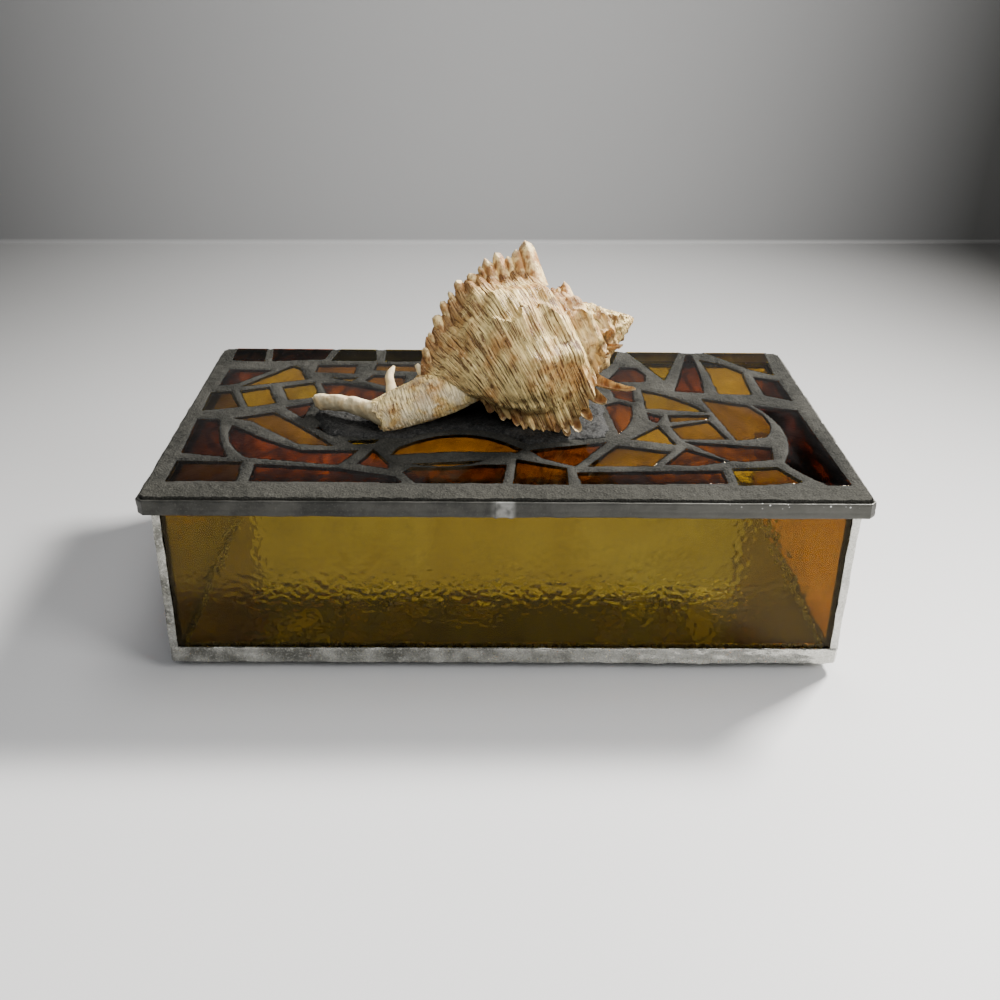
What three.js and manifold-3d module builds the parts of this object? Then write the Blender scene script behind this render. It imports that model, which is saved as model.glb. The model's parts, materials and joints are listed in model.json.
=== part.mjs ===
// Stained glass box with a mosaic lid and a spiny sea snail's shell set on top as its handle.
// Millimetres, +Z up. The origin is on the table under the middle of the lid; the front faces -Y.
import * as THREE from 'three';
import { mergeVertices } from 'three/addons/utils/BufferGeometryUtils.js';
import Module from 'manifold-3d';

const wasm = await Module();
wasm.setup();

// Driving dimensions
const lid = { width: 210, depth: 122, underside: 55.5, cornerCut: 2 };
const box = { width: 204, depth: 116, footHeight: 3.3, glass: 3, channelHeight: 5.7 };
const gap = 0.3;

// Edge channel of the lid: it grips the base glass, carries the grout and has an upright outer web
const lidChannel = { web: 1.2, lowerFlange: 7, upperFlange: 4, flange: 0.9, height: 5.1 };
const baseGlass = 2.4;
const tileGlass = 1.8;
const baseBottom = lid.underside + lidChannel.flange;
const baseTop = baseBottom + baseGlass;
const flangeTop = baseTop + lidChannel.flange;
const groutTop = 61;

// Channel round the foot of the body: an outer and an inner wall hold the panes, a ledge the mirror
const footChannel = { wall: 0.8, base: 1, ledge: 4, cornerCut: 0.8 };
const cornerStrip = { thickness: 0.6, frontLeg: 1.9, sideLeg: 5.4 };
const foot = { inset: [9, 9], radius: 6, soleRadius: 4.6 };

// Colours and finishes
const finish = {
  lead: { color: 0x5b5c5a, roughness: 0.55, metalness: 0.8 },
  solder: { color: 0xb4b4ae, roughness: 0.35, metalness: 0.9 },
  grout: { color: 0x4d4d4a, roughness: 0.95, metalness: 0 },
  bed: { color: 0x2b2b2a, roughness: 1, metalness: 0 },
  mirror: { color: 0xc8c8c4, roughness: 0.05, metalness: 1 },
  shell: { color: 0xdac8a4, roughness: 0.6, metalness: 0 },
  clear: { color: 0x9a8c50, roughness: 0.1, metalness: 0 },
  hammeredAmber: { color: 0xa88a1c, roughness: 0.12, metalness: 0 },
  amber: { color: 0xb07a14, roughness: 0.1, metalness: 0 },
  yellow: { color: 0xc2a428, roughness: 0.1, metalness: 0 },
  olive: { color: 0x7c6a28, roughness: 0.1, metalness: 0 },
  brown: { color: 0x6e3c10, roughness: 0.1, metalness: 0 },
  dark: { color: 0x3a170a, roughness: 0.1, metalness: 0 },
};

const part = new THREE.Group();

function add(name, geometry, look) {
  const mesh = new THREE.Mesh(geometry, new THREE.MeshStandardMaterial(finish[look]));
  mesh.name = name;
  part.add(mesh);
  return mesh;
}

// Geometry from a list of vertices and a list of triangles
function meshGeometry(vertices, triangles) {
  const geometry = new THREE.BufferGeometry();
  geometry.setAttribute('position', new THREE.Float32BufferAttribute(vertices.flat(), 3));
  geometry.setIndex(triangles.flat());
  return geometry;
}

// A closed geometry as a solid that can be joined and cut, and back again
function toSolid(geometry) {
  const bare = geometry.clone();
  bare.deleteAttribute('normal');
  bare.deleteAttribute('uv');
  const merged = mergeVertices(bare, 1e-4);
  return new wasm.Manifold(new wasm.Mesh({
    numProp: 3,
    vertProperties: merged.attributes.position.array,
    triVerts: Uint32Array.from(merged.index.array),
  }));
}

function fromSolid(solid) {
  const mesh = solid.getMesh();
  const geometry = new THREE.BufferGeometry();
  geometry.setAttribute('position', new THREE.BufferAttribute(mesh.vertProperties, 3));
  geometry.setIndex(new THREE.BufferAttribute(mesh.triVerts, 1));
  return geometry;
}

// Plan outline of a rectangle with cut corners, moved inwards by inset, where the cut fades out
const leastCut = 0.1;
function cutRectangle(width, depth, cornerCut, inset) {
  const x = width / 2 - inset;
  const y = depth / 2 - inset;
  const cut = Math.max(leastCut, cornerCut - inset);
  return [
    [x - cut, -y], [x, -y + cut], [x, y - cut], [x - cut, y],
    [-x + cut, y], [-x, y - cut], [-x, -y + cut], [-x + cut, -y],
  ];
}

// A section of [inset, height] points carried round a rectangle with cut corners
function railRing(width, depth, cornerCut, section) {
  const vertices = [];
  for (const [inset, z] of section) {
    for (const [x, y] of cutRectangle(width, depth, cornerCut, inset)) vertices.push([x, y, z]);
  }
  const corners = 8;
  const triangles = [];
  section.forEach((_, i) => {
    const next = (i + 1) % section.length;
    for (let c = 0; c < corners; c += 1) {
      const d = (c + 1) % corners;
      const [a, b] = [i * corners + c, i * corners + d];
      const [e, f] = [next * corners + c, next * corners + d];
      triangles.push([a, e, b], [b, e, f]);
    }
  });
  return meshGeometry(vertices, triangles);
}

// An outline pushed straight up from bottom to top
function prism(outline, bottom, top) {
  const shape = new THREE.Shape(outline.map(([x, y]) => new THREE.Vector2(x, y)));
  const geometry = new THREE.ExtrudeGeometry(shape, { depth: top - bottom, bevelEnabled: false });
  return geometry.translate(0, 0, bottom);
}

function slab(low, high) {
  const size = high.map((value, i) => value - low[i]);
  const middle = high.map((value, i) => (value + low[i]) / 2);
  return new THREE.BoxGeometry(...size).translate(...middle);
}

// Body: four panes of hammered glass in a channel, a mirror for the floor, solder feet
function addBody() {
  const halfX = box.width / 2;
  const halfY = box.depth / 2;
  const { wall, base, ledge, cornerCut } = footChannel;
  const low = box.footHeight;
  const top = low + box.channelHeight;
  const seat = low + base;
  const slot = wall + box.glass;
  const inner = slot + wall;

  const section = [
    [0, low], [0, top], [wall, top], [wall, seat], [slot, seat], [slot, top],
    [inner, top], [inner, seat], [inner + ledge, seat], [inner + ledge, low],
  ].reverse();
  let channel = toSolid(railRing(box.width, box.depth, cornerCut, section));
  const sole = [[0, 0], [foot.soleRadius, 0], [foot.radius, 1.2], [foot.radius, low + 0.4], [0, low + 0.4]];
  for (const sx of [-1, 1]) {
    for (const sy of [-1, 1]) {
      const blob = new THREE.LatheGeometry(sole.map(([r, z]) => new THREE.Vector2(r, z)), 14);
      blob.rotateX(Math.PI / 2);
      blob.translate(sx * (halfX - foot.inset[0]), sy * (halfY - foot.inset[1]), 0);
      channel = channel.add(toSolid(blob));
    }
  }
  add('foot_channel', fromSolid(channel), 'solder');

  const paneX = halfX - wall;
  const paneY = halfY - wall;
  const innerY = paneY - box.glass;
  const innerX = paneX - box.glass;
  const paneTop = lid.underside;
  const longX = paneX - leastCut;
  add('front_pane', slab([-longX, -paneY, seat], [longX, -innerY, paneTop]), 'hammeredAmber');
  add('back_pane', slab([-longX, innerY, seat], [longX, paneY, paneTop]), 'hammeredAmber');
  add('left_pane', slab([-paneX, -innerY, seat], [-innerX, innerY, paneTop]), 'amber');
  add('right_pane', slab([innerX, -innerY, seat], [paneX, innerY, paneTop]), 'amber');
  const floorX = halfX - inner - leastCut;
  const floorY = halfY - inner - leastCut;
  add('mirror_floor', slab([-floorX, -floorY, seat], [floorX, floorY, seat + box.glass]), 'mirror');

  // Angle strips folded over the upright glass edges, from the channel up to the rim
  const { thickness, frontLeg, sideLeg } = cornerStrip;
  const x = paneX + thickness;
  const y = paneY + thickness;
  const angle = [
    [x - frontLeg - thickness, -y], [x, -y], [x, -y + sideLeg + thickness],
    [paneX, -y + sideLeg + thickness], [paneX, -paneY], [x - frontLeg - thickness, -paneY],
  ];
  const names = { front_right_strip: [1, 1], front_left_strip: [-1, 1], back_right_strip: [1, -1], back_left_strip: [-1, -1] };
  for (const [name, [sx, sy]] of Object.entries(names)) {
    const outline = angle.map(([px, py]) => [sx * px, sy * py]);
    if (sx * sy < 0) outline.reverse();
    add(name, prism(outline, top, paneTop), 'solder');
  }
}

// Lid mosaic. Each piece is its corners in order, anticlockwise from above; a third number is how far
// the edge that follows bows outwards. Rear pieces lie over the edge channel, so they tip up at the back.
const rear = lid.depth / 2 - 1;
const mosaic = {
  front_left_tile: ['amber', [[-99, -49], [-78.5, -48.5], [-79.5, -35.5], [-99, -35]]],
  front_long_tile: ['dark', [[-75, -48.5], [-30.5, -49], [-33, -45], [-50.5, -39.5], [-75.5, -37]]],
  front_wavy_tile: ['dark', [[-27, -49], [-1.5, -49], [0, -36.5], [-7, -36.5, -1], [-28.5, -38.5], [-31, -42]]],
  front_square_tile: ['brown', [[1.5, -49.5], [17.5, -50], [18, -38.5], [3, -32.5]]],
  front_strip_tile: ['brown', [[21.5, -49.5], [64.5, -48.5], [64.5, -39.5], [20.5, -41.5]]],
  front_right_tile: ['yellow', [[67.5, -50], [87, -47.5], [81.5, -37], [67.5, -38]]],
  right_dark_tile: ['dark', [[93.5, -49], [100.5, -49], [98.5, 7], [84, 11.5, -5.5], [84.5, -34, 1]]],
  left_square_tile: ['brown', [[-99, -29.5], [-84.5, -32.5, -1], [-92.5, -4], [-100, -3.5]]],
  left_long_tile: ['dark', [[-88, -7.5, 2.8], [-79, -32.5], [-50.5, -37.5], [-45.5, -27], [-63, -27, -1.2]]],
  left_leaf_tile: ['amber', [[-89, -2.5], [-82, -5.5], [-65, -22.5], [-53, -24], [-65.5, -8.5], [-76, 2.5]]],
  small_front_tile: ['dark', [[-45, -36.5], [-35, -40], [-35.5, -36], [-41, -25.5]]],
  half_moon_tile: ['amber', [[-35.5, -30.5, -1.5], [3, -28], [5, -25.5, 10.5], [-33.5, -24.5]]],
  under_shell_tile: ['brown', [[7, -26], [11.5, -32.5], [20.5, -37.5], [32, -19.5]]],
  centre_right_tile: ['amber', [[24, -37.5], [44, -37], [51, -26.5], [34.5, -22]]],
  roof_tile: ['brown', [[47.5, -36], [57.5, -36.5], [68, -33.5], [56, -24]]],
  keel_tile: ['brown', [[56, -18.5], [61.5, -25.5], [68, -33, 0.8], [81.5, -32], [83, -23]]],
  yellow_triangle_tile: ['yellow', [[39.5, -17.5], [53.5, -21.5], [50, -6]]],
  tilted_tile: ['amber', [[55.5, -17], [71, -17.5], [67, -2], [53.5, -7]]],
  right_round_tile: ['amber', [[73, -18], [83, -15.5, 4], [82.5, 11], [67.5, 17]]],
  right_wing_tile: ['yellow', [[47.5, 7.5], [68, 4.5, 2.6], [48, 24.5]]],
  shield_tile: ['brown', [[36, -14, 2], [43, 10.5], [39, 14], [34, 11]]],
  right_middle_tile: ['brown', [[38, 17], [44.5, 12.5], [45, 27.5], [37, 28]]],
  olive_tile: ['olive', [[-100, 3.5], [-88, 6.5], [-93.5, 20.5], [-100.5, 19.5]]],
  left_yellow_tile: ['yellow', [[-85.5, 6.5], [-76.5, 10], [-81.5, 25], [-91, 21]]],
  second_yellow_tile: ['yellow', [[-73, 12.5], [-63, 16], [-66.5, 29.5], [-77, 25]]],
  pale_triangle_tile: ['yellow', [[-92, 24.5], [-69, 32], [-73.5, 44], [-76.5, 46]]],
  left_dark_tile: ['dark', [[-99, 25.5], [-93, 27.5], [-83, 41], [-98.5, 41.5]]],
  rear_left_tile: ['brown', [[-99, 50], [-87.5, 49.5], [-88, rear], [-99, rear]]],
  rear_second_tile: ['dark', [[-84.5, 50], [-65.5, 52], [-63.5, rear], [-85.5, rear]]],
  rear_third_tile: ['olive', [[-63, 50.5], [-46.5, 51], [-47.5, rear], [-60.5, rear]]],
  rear_fourth_tile: ['olive', [[-43, 50.5], [-24, 51], [-24, rear], [-43.5, rear]]],
  rear_fifth_tile: ['brown', [[-20.5, 51], [-3, 50], [-2, rear], [-20.5, rear]]],
  rear_sixth_tile: ['amber', [[1, 49.5], [20, 50.5], [18, rear], [1.5, rear]]],
  rear_seventh_tile: ['yellow', [[23.5, 50], [40.5, 49.5], [43.5, rear], [21.5, rear]]],
  small_amber_tile: ['amber', [[-67.5, 39], [-53.5, 38], [-53, 47], [-67.5, 46.5]]],
  left_brown_tile: ['brown', [[-64, 28.5], [-59, 13], [-51.5, 11], [-41, 15.5], [-41.5, 23], [-55.5, 29]]],
  canal_amber_tile: ['amber', [[-49, 31.5], [-42, 26.5], [-35, 26], [-35, 36], [-46.5, 37]]],
  long_amber_tile: ['amber', [[-47, 41.5], [-27, 40], [-25.5, 47.5], [-46, 48]]],
  hidden_amber_tile: ['amber', [[-22, 39.5], [-2, 37.5], [0, 46], [-21, 47]]],
  spire_tile: ['brown', [[36.5, 32], [50.5, 32], [51.5, 38.5], [49, 46], [43, 46.5]]],
  rear_triangle_tile: ['yellow', [[57.5, 33], [66.5, rear], [47, rear]]],
  red_tile: ['dark', [[59.5, 23], [69.5, 21.5, 1], [71, rear - 3], [69, rear - 2]]],
  right_yellow_tile: ['yellow', [[74.5, 21], [86, 20.5], [87.5, 42.5], [82, 50], [73.5, 55], [74.5, 39]]],
  rear_right_tile: ['yellow', [[98, 39.5], [99, rear], [76, rear], [83, 53], [89.5, 45]]],
  right_brown_tile: ['brown', [[90.5, 20], [99, 15], [98.5, 34], [90, 38]]],
};

// The corners with each bowed edge filled in by a few points
function outlineOf(corners) {
  const points = [];
  corners.forEach(([x, y, bow = 0], i) => {
    const [nx, ny] = corners[(i + 1) % corners.length];
    points.push([x, y]);
    if (bow === 0) return;
    const length = Math.hypot(nx - x, ny - y);
    const steps = Math.abs(bow) > 3 ? 7 : 4;
    for (let k = 1; k < steps; k += 1) {
      const t = k / steps;
      const lift = bow * 4 * t * (1 - t);
      points.push([x + (nx - x) * t + (ny - y) / length * lift, y + (ny - y) * t - (nx - x) / length * lift]);
    }
  });
  return points;
}

// The outline with every edge moved inwards by the same distance
function shrink(points, distance) {
  const normal = ([ax, ay], [bx, by]) => {
    const length = Math.hypot(bx - ax, by - ay);
    return [-(by - ay) / length, (bx - ax) / length];
  };
  return points.map((p, i) => {
    const before = normal(points.at(i - 1), p);
    const after = normal(p, points[(i + 1) % points.length]);
    const sum = [before[0] + after[0], before[1] + after[1]];
    const scale = 2 * distance / (sum[0] ** 2 + sum[1] ** 2);
    return [p[0] + sum[0] * scale, p[1] + sum[1] * scale];
  });
}

function addLid() {
  const { width, depth, cornerCut, underside } = lid;
  const { web, lowerFlange, upperFlange, flange, height } = lidChannel;
  const section = [
    [0, underside], [lowerFlange, underside], [lowerFlange, baseBottom], [web, baseBottom],
    [web, baseTop], [upperFlange, baseTop], [upperFlange, flangeTop], [web, flangeTop],
    [web, underside + height], [0, underside + height],
  ];
  add('lid_channel', railRing(width, depth, cornerCut, section), 'lead');
  const inWeb = cutRectangle(width, depth, cornerCut, web);
  const inFlange = cutRectangle(width, depth, cornerCut, upperFlange);
  add('lid_base_glass', prism(inWeb, baseBottom, baseTop), 'clear');

  let grout = toSolid(prism(inFlange, baseTop, flangeTop + flange / 2));
  grout = grout.add(toSolid(prism(inWeb, flangeTop, groutTop)));
  for (const [name, [look, corners]] of Object.entries(mosaic)) {
    const pocket = outlineOf(corners);
    grout = grout.subtract(toSolid(prism(pocket, baseTop - 1, groutTop + 1)));
    const tile = prism(shrink(pocket, gap), baseTop, baseTop + tileGlass);
    const front = Math.min(...pocket.map(([, y]) => y));
    const flangeEdge = depth / 2 - upperFlange;
    if (pocket.some(([, y]) => y > flangeEdge)) tipUp(tile, front, flange / (flangeEdge - front));
    add(name, tile, look);
  }
  add('grout', fromSolid(grout), 'grout');
}

// Raises the points behind y = front by slope times their distance from it
function tipUp(geometry, front, slope) {
  const { position } = geometry.attributes;
  for (let i = 0; i < position.count; i += 1) {
    const rise = Math.max(0, position.getY(i) - front) * slope;
    position.setZ(i, position.getZ(i) + rise);
  }
}

// Shell. Its whorls coil about a straight axis from the spire tip down to where the narrow canal was
// broken and glued back on at an angle. d is the distance from the spire tip along that axis, and the
// angle about it is 0 towards the front, 90 up and 180 towards the back.
const spireTip = new THREE.Vector3(41, 5, 93);
const canalBreak = new THREE.Vector3(-40.5, -12, 65.5);
const canalEnd = new THREE.Vector3(-62.5, 0, 64.6);
const axisLength = spireTip.distanceTo(canalBreak);
const restLevel = groutTop + 0.5;
const whorlGrowth = 1.58;
const lipAngle = 230;
const varixStep = 120;
const profileAngle = 110;
const whorlCount = 5;

// [d, radius] of the last whorl where it passes profileAngle, of the canal, and of its glued tip
const whorlProfile = [
  [0, 0], [8, 9.5], [17, 14], [24, 15.5], [26.5, 18], [29, 21], [34, 23.5], [40, 25],
  [47, 24], [54, 20.3], [60, 15.5], [66, 10.5], [70, 7], [74, 3], [76, 0],
];
const canalProfile = [[0, 0], [40, 4], [50, 7], [60, 8], [70, 7.6], [78, 6.6], [84, 6], [88, 5.6]];
const tipProfile = [[0, 5.2], [0.06, 4.3], [0.4, 3.4], [0.8, 2.7], [0.94, 2.5], [1, 1.6]];

function along(table, x) {
  if (x <= table[0][0]) return table[0][1];
  const i = table.findIndex(([end]) => end >= x);
  if (i < 0) return -1;
  const [[x0, y0], [x1, y1]] = [table[i - 1], table[i]];
  return y0 + (y1 - y0) * (x - x0) / (x1 - x0);
}

const clamp = THREE.MathUtils.clamp;

// Size of the shell at an angle, against its size at profileAngle, in the last whorl
const growthAt = (angle) => whorlGrowth ** ((angle - profileAngle) / 360);

// Angle of a varix at a place along the whorl: the older one slants round towards the canal
const varixLean = (varix, place) => (varix < 100 ? varix - 14 * clamp((place - 28) / 20, -0.5, 2.5) : varix);

// Ridge left by each old lip: it climbs slowly and drops away on the side the shell grew towards
function varixHeight(angle, place) {
  let height = 0;
  for (let k = 0; k < 4; k += 1) {
    const offset = angle - varixLean(lipAngle - k * varixStep, place);
    const width = offset < 0 ? 15 : 7;
    height = Math.max(height, Math.exp(-((offset / width) ** 2)));
  }
  return height * 3.2 * clamp((place - 20) / 6, 0, 1) * clamp((76 - place) / 14, 0, 1);
}

// Low rib half way between two varices
function ribHeight(angle, place) {
  const offset = (angle - 48) / 12;
  return 1.3 * Math.exp(-(offset ** 2)) * clamp((place - 26) / 5, 0, 1) * clamp((60 - place) / 20, 0, 1);
}

function shellRadius(d, degrees) {
  const angle = degrees > lipAngle ? degrees - 360 : degrees;
  let radius = along(canalProfile, d);
  for (let whorl = 0; whorl < whorlCount; whorl += 1) {
    const scale = growthAt(angle) / whorlGrowth ** whorl;
    const place = d / scale;
    const body = along(whorlProfile, place);
    if (body > 0) {
      const relief = varixHeight(angle, place) + ribHeight(angle, place);
      radius = Math.max(radius, scale * (body + relief));
    }
  }
  return radius;
}

const axis = spireTip.clone().sub(canalBreak).normalize();
const upward = new THREE.Vector3(0, 0, 1).addScaledVector(axis, -axis.z).normalize();
const forward = new THREE.Vector3().crossVectors(axis, upward);
if (forward.y > 0) forward.negate();

// Point at an angle and a radius about a place on the axis, kept above the level it rests on
function shellPoint(centre, degrees, radius) {
  const angle = THREE.MathUtils.degToRad(degrees);
  const out = forward.clone().multiplyScalar(Math.cos(angle)).addScaledVector(upward, Math.sin(angle));
  const fall = -out.z * radius;
  const room = centre.z - restLevel;
  const reach = fall > room ? radius * room / fall : radius;
  return centre.clone().addScaledVector(out, reach);
}

// Rings of points from the spire tip to the end of the canal, closed by a point at each end
function shellBody() {
  const ringPoints = 42;
  const bodyRings = 36;
  const tipRings = tipProfile.length;
  const rings = [];
  for (let i = 1; i <= bodyRings; i += 1) {
    const d = axisLength * (i / bodyRings) ** 1.08;
    const centre = spireTip.clone().addScaledVector(axis, -d);
    rings.push({ centre, radiusAt: (degrees) => shellRadius(d, degrees) });
  }
  for (let i = 0; i < tipRings; i += 1) {
    const [t, radius] = tipProfile[i];
    const centre = canalBreak.clone().lerp(canalEnd, 0.04 + 0.96 * t);
    centre.z += 1.2 * Math.sin(Math.PI * t);
    rings.push({ centre, radiusAt: () => radius });
  }
  const vertices = [spireTip.toArray()];
  for (const { centre, radiusAt } of rings) {
    for (let j = 0; j < ringPoints; j += 1) {
      const degrees = lipAngle + 1 - 360 + j * 360 / ringPoints;
      vertices.push(shellPoint(centre, degrees, radiusAt(degrees)).toArray());
    }
  }
  vertices.push(canalEnd.toArray());
  const last = vertices.length - 1;
  const triangles = [];
  for (let j = 0; j < ringPoints; j += 1) {
    const k = (j + 1) % ringPoints;
    triangles.push([0, 1 + k, 1 + j]);
    triangles.push([last, last - ringPoints + j, last - ringPoints + k]);
    for (let i = 0; i + 1 < rings.length; i += 1) {
      const [a, b] = [1 + i * ringPoints + j, 1 + i * ringPoints + k];
      const [c, e] = [a + ringPoints, b + ringPoints];
      triangles.push([a, b, c], [b, e, c]);
    }
  }
  return meshGeometry(vertices, triangles);
}

// Spines of a varix: place along the whorl, length, half width, and lean towards the spire
const spines = [
  [28.5, 12, 3.4, 0.5], [35.5, 9.5, 2.2, 0.1], [40, 4.5, 1.8, 0], [43.5, 5, 1.8, 0], [47.5, 4.5, 1.7, -0.1],
  [51.5, 4.2, 1.6, -0.2], [55.5, 4.2, 1.5, -0.3], [59.5, 4, 1.4, -0.4], [63.5, 3.6, 1.3, -0.5], [68, 3, 1.2, -0.5],
];

// A four-sided horn from a root inside the shell to a blunt tip
function horn(root, tip, along_, across, halfWidth, halfThickness) {
  const ring = (centre, size) => [[1, 0], [0, 1], [-1, 0], [0, -1]].map(([a, b]) => (
    centre.clone().addScaledVector(along_, a * halfWidth * size).addScaledVector(across, b * halfThickness * size)
  ));
  const levels = [ring(root, 1.15), ring(root.clone().lerp(tip, 0.6), 0.85), ring(tip, 0.45)];
  const vertices = levels.flat().map((p) => p.toArray());
  const triangles = [[0, 2, 1], [0, 3, 2], [8, 9, 10], [8, 10, 11]];
  for (const base of [0, 4]) {
    for (let j = 0; j < 4; j += 1) {
      const k = (j + 1) % 4;
      triangles.push([base + j, base + k, base + 4 + j], [base + k, base + 4 + k, base + 4 + j]);
    }
  }
  const geometry = meshGeometry(vertices, triangles);
  const turn = along_.clone().cross(across).dot(tip.clone().sub(root));
  if (turn < 0) geometry.index.array.reverse();
  return geometry;
}

function varixSpine(varix, whorl, [place, length, halfWidth, lean]) {
  const degrees = varixLean(varix, place) - 3;
  const scale = growthAt(degrees) / whorlGrowth ** whorl;
  const d = place * scale;
  const radians = THREE.MathUtils.degToRad(degrees);
  const out = forward.clone().multiplyScalar(Math.cos(radians)).addScaledVector(upward, Math.sin(radians));
  const round = forward.clone().multiplyScalar(-Math.sin(radians)).addScaledVector(upward, Math.cos(radians));
  const centre = spireTip.clone().addScaledVector(axis, -d);
  const surface = shellRadius(d, degrees);
  const root = centre.clone().addScaledVector(out, surface - 3 * scale);
  const tip = centre.clone().addScaledVector(out, surface + length * scale * 0.85);
  tip.addScaledVector(axis, lean * length * scale);
  if (tip.z < restLevel + 0.4) return null;
  return horn(root, tip, axis, round, halfWidth * scale, 1.3 * scale);
}

function shellSolid() {
  let solid = toSolid(shellBody());
  const rows = [[110, 0, 10], [-10, 0, 10], [230, 0, 8], [110, 1, 2], [-10, 1, 1]];
  for (const [varix, whorl, count] of rows) {
    for (const spine of spines.slice(0, count)) {
      const geometry = varixSpine(varix, whorl, spine);
      if (geometry) solid = solid.add(toSolid(geometry));
    }
  }
  // The long curved spine and the short spur on the canal
  const canalSpines = [
    { root: [-35.5, -9, 68.5], tip: [-36.5, 0, 77], halfWidth: 1.6 },
    { root: [-26, -6, 74], tip: [-28.5, -2, 80], halfWidth: 1.4 },
  ];
  for (const { root, tip, halfWidth } of canalSpines) {
    const across = upward.clone().cross(axis);
    solid = solid.add(toSolid(horn(new THREE.Vector3(...root), new THREE.Vector3(...tip), axis, across, halfWidth, 1.3)));
  }
  return solid;
}

// Dark sandy bed that holds the shell
const bedHeight = 1;
const bedOutline = [
  [-62, -3], [-56, -17], [-46, -18.5], [-31, -18.5], [-26, -15.5], [-16, -12], [-7, -12.5], [1, -16.5],
  [7, -22.5], [32, -17], [33.5, -8], [32, 10], [29, 20], [10, 23], [-14, 24], [-32, 21], [-38, 12],
  [-50, 8.5], [-60, 8],
];

function addShell() {
  const solid = shellSolid();
  const middle = solid.boundingBox();
  const centre = [0, 1].map((i) => (middle.min[i] + middle.max[i]) / 2);
  const spread = 1.015;
  const cutter = solid.translate([-centre[0], -centre[1], 0]).scale([spread, spread, 1])
    .translate([centre[0], centre[1], -gap]);
  add('shell', fromSolid(solid), 'shell');
  const bed = toSolid(prism(bedOutline, groutTop, groutTop + bedHeight)).subtract(cutter);
  const pieces = bed.decompose().sort((a, b) => b.volume() - a.volume());
  add('shell_bed', fromSolid(pieces[0]), 'bed');
}

addBody();
addLid();
addShell();

export default part;
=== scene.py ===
import itertools
import json
import math

import bmesh
import bpy
import numpy as np
from mathutils import Matrix, Vector


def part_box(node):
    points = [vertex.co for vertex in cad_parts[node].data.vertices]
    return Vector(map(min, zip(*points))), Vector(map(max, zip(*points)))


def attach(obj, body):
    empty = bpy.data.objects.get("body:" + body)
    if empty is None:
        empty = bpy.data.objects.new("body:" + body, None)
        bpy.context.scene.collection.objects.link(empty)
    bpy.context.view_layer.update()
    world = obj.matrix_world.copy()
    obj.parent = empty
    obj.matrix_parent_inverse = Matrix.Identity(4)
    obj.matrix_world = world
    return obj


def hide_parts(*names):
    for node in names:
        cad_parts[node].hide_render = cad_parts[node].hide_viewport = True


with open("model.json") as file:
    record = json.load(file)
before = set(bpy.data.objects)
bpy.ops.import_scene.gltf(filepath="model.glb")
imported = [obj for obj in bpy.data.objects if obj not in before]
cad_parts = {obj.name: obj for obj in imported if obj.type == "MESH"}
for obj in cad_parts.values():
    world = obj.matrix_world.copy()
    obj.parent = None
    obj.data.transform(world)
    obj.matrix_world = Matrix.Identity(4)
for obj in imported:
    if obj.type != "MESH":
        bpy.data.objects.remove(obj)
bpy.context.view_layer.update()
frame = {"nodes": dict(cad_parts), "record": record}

# Shapes are worked out in millimetres; makePiece turns them into metres.
nodes = frame["nodes"]
slotOf = {entry["node"]: entry["material_slot"] for entry in frame["record"]["subparts"]}
mm = 0.001


def boxOf(node):  # lowest and highest corner of a node, in mm
    low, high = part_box(node)
    return np.array(low) / mm, np.array(high) / mm


# Noise

def cellValue(cell):  # a fixed value from 0 to 1 for every whole-number cell
    mixed = (cell[..., 0] * 374761393 + cell[..., 1] * 668265263 + cell[..., 2] * 1442695041) & 0xFFFFFFFF
    mixed = ((mixed ^ (mixed >> 13)) * 1274126177) & 0xFFFFFFFF
    return ((mixed ^ (mixed >> 16)) & 0xFFFFFF) / 0xFFFFFF


def waves(points, size, seed=0):  # smooth noise from -1 to 1 with one hump about every size mm
    place = points / size + seed * 31.7
    cell = np.floor(place).astype(np.int64)
    part = place - cell
    part = part * part * (3 - 2 * part)
    total = np.zeros(points.shape[:-1])
    for corner in itertools.product((0, 1), repeat=3):
        corner = np.array(corner)
        total += np.prod(np.where(corner == 1, part, 1 - part), axis=-1) * cellValue(cell + corner)
    return 2 * total - 1


def layeredWaves(points, size, layers=3, seed=0):  # each layer has half the size and half the height
    return sum(waves(points, np.array(size) / 2 ** k, seed + k) / 2 ** k for k in range(layers))


def dimples(points, size, seed=0):  # distance to the nearest of scattered points, in units of size
    place = points / size
    cell = np.floor(place).astype(np.int64)
    best = np.full(points.shape[:-1], 9.0)
    for step in itertools.product((-1, 0, 1), repeat=2):
        near = cell.copy()
        near[..., 0] += step[0]
        near[..., 1] += step[1]
        near[..., 2] = seed
        jitter = np.stack([cellValue(near + shift) for shift in (11, 57)], -1)
        gap = near[..., :2] + jitter - place[..., :2]
        best = np.minimum(best, np.hypot(gap[..., 0], gap[..., 1]))
    return best


def flatPoints(x, y):  # points on the plane z = 0
    return np.stack([x, y, np.zeros_like(x)], -1)


def smoothStep(x, low, high):  # 0 below low, 1 above high, an S-curve in between
    t = np.clip((x - low) / (high - low), 0, 1)
    return t * t * (3 - 2 * t)


# Meshes

# marks are values at the points that the colours read
def makePiece(name, points, faces, slot, material, replaced=(), sharp=35, marks=None):
    mesh = bpy.data.meshes.new(name)
    polygons = [corner for block in faces for corner in np.asarray(block).tolist()]
    mesh.from_pydata((np.asarray(points).reshape(-1, 3) * mm).tolist(), [], polygons)
    mesh.validate()
    for mark, values in (marks or {}).items():
        layer = mesh.attributes.new(mark, "FLOAT", "POINT")
        layer.data.foreach_set("value", np.asarray(values, np.float32).ravel())
    return finishPiece(mesh, name, material, replaced, sharp)


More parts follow.
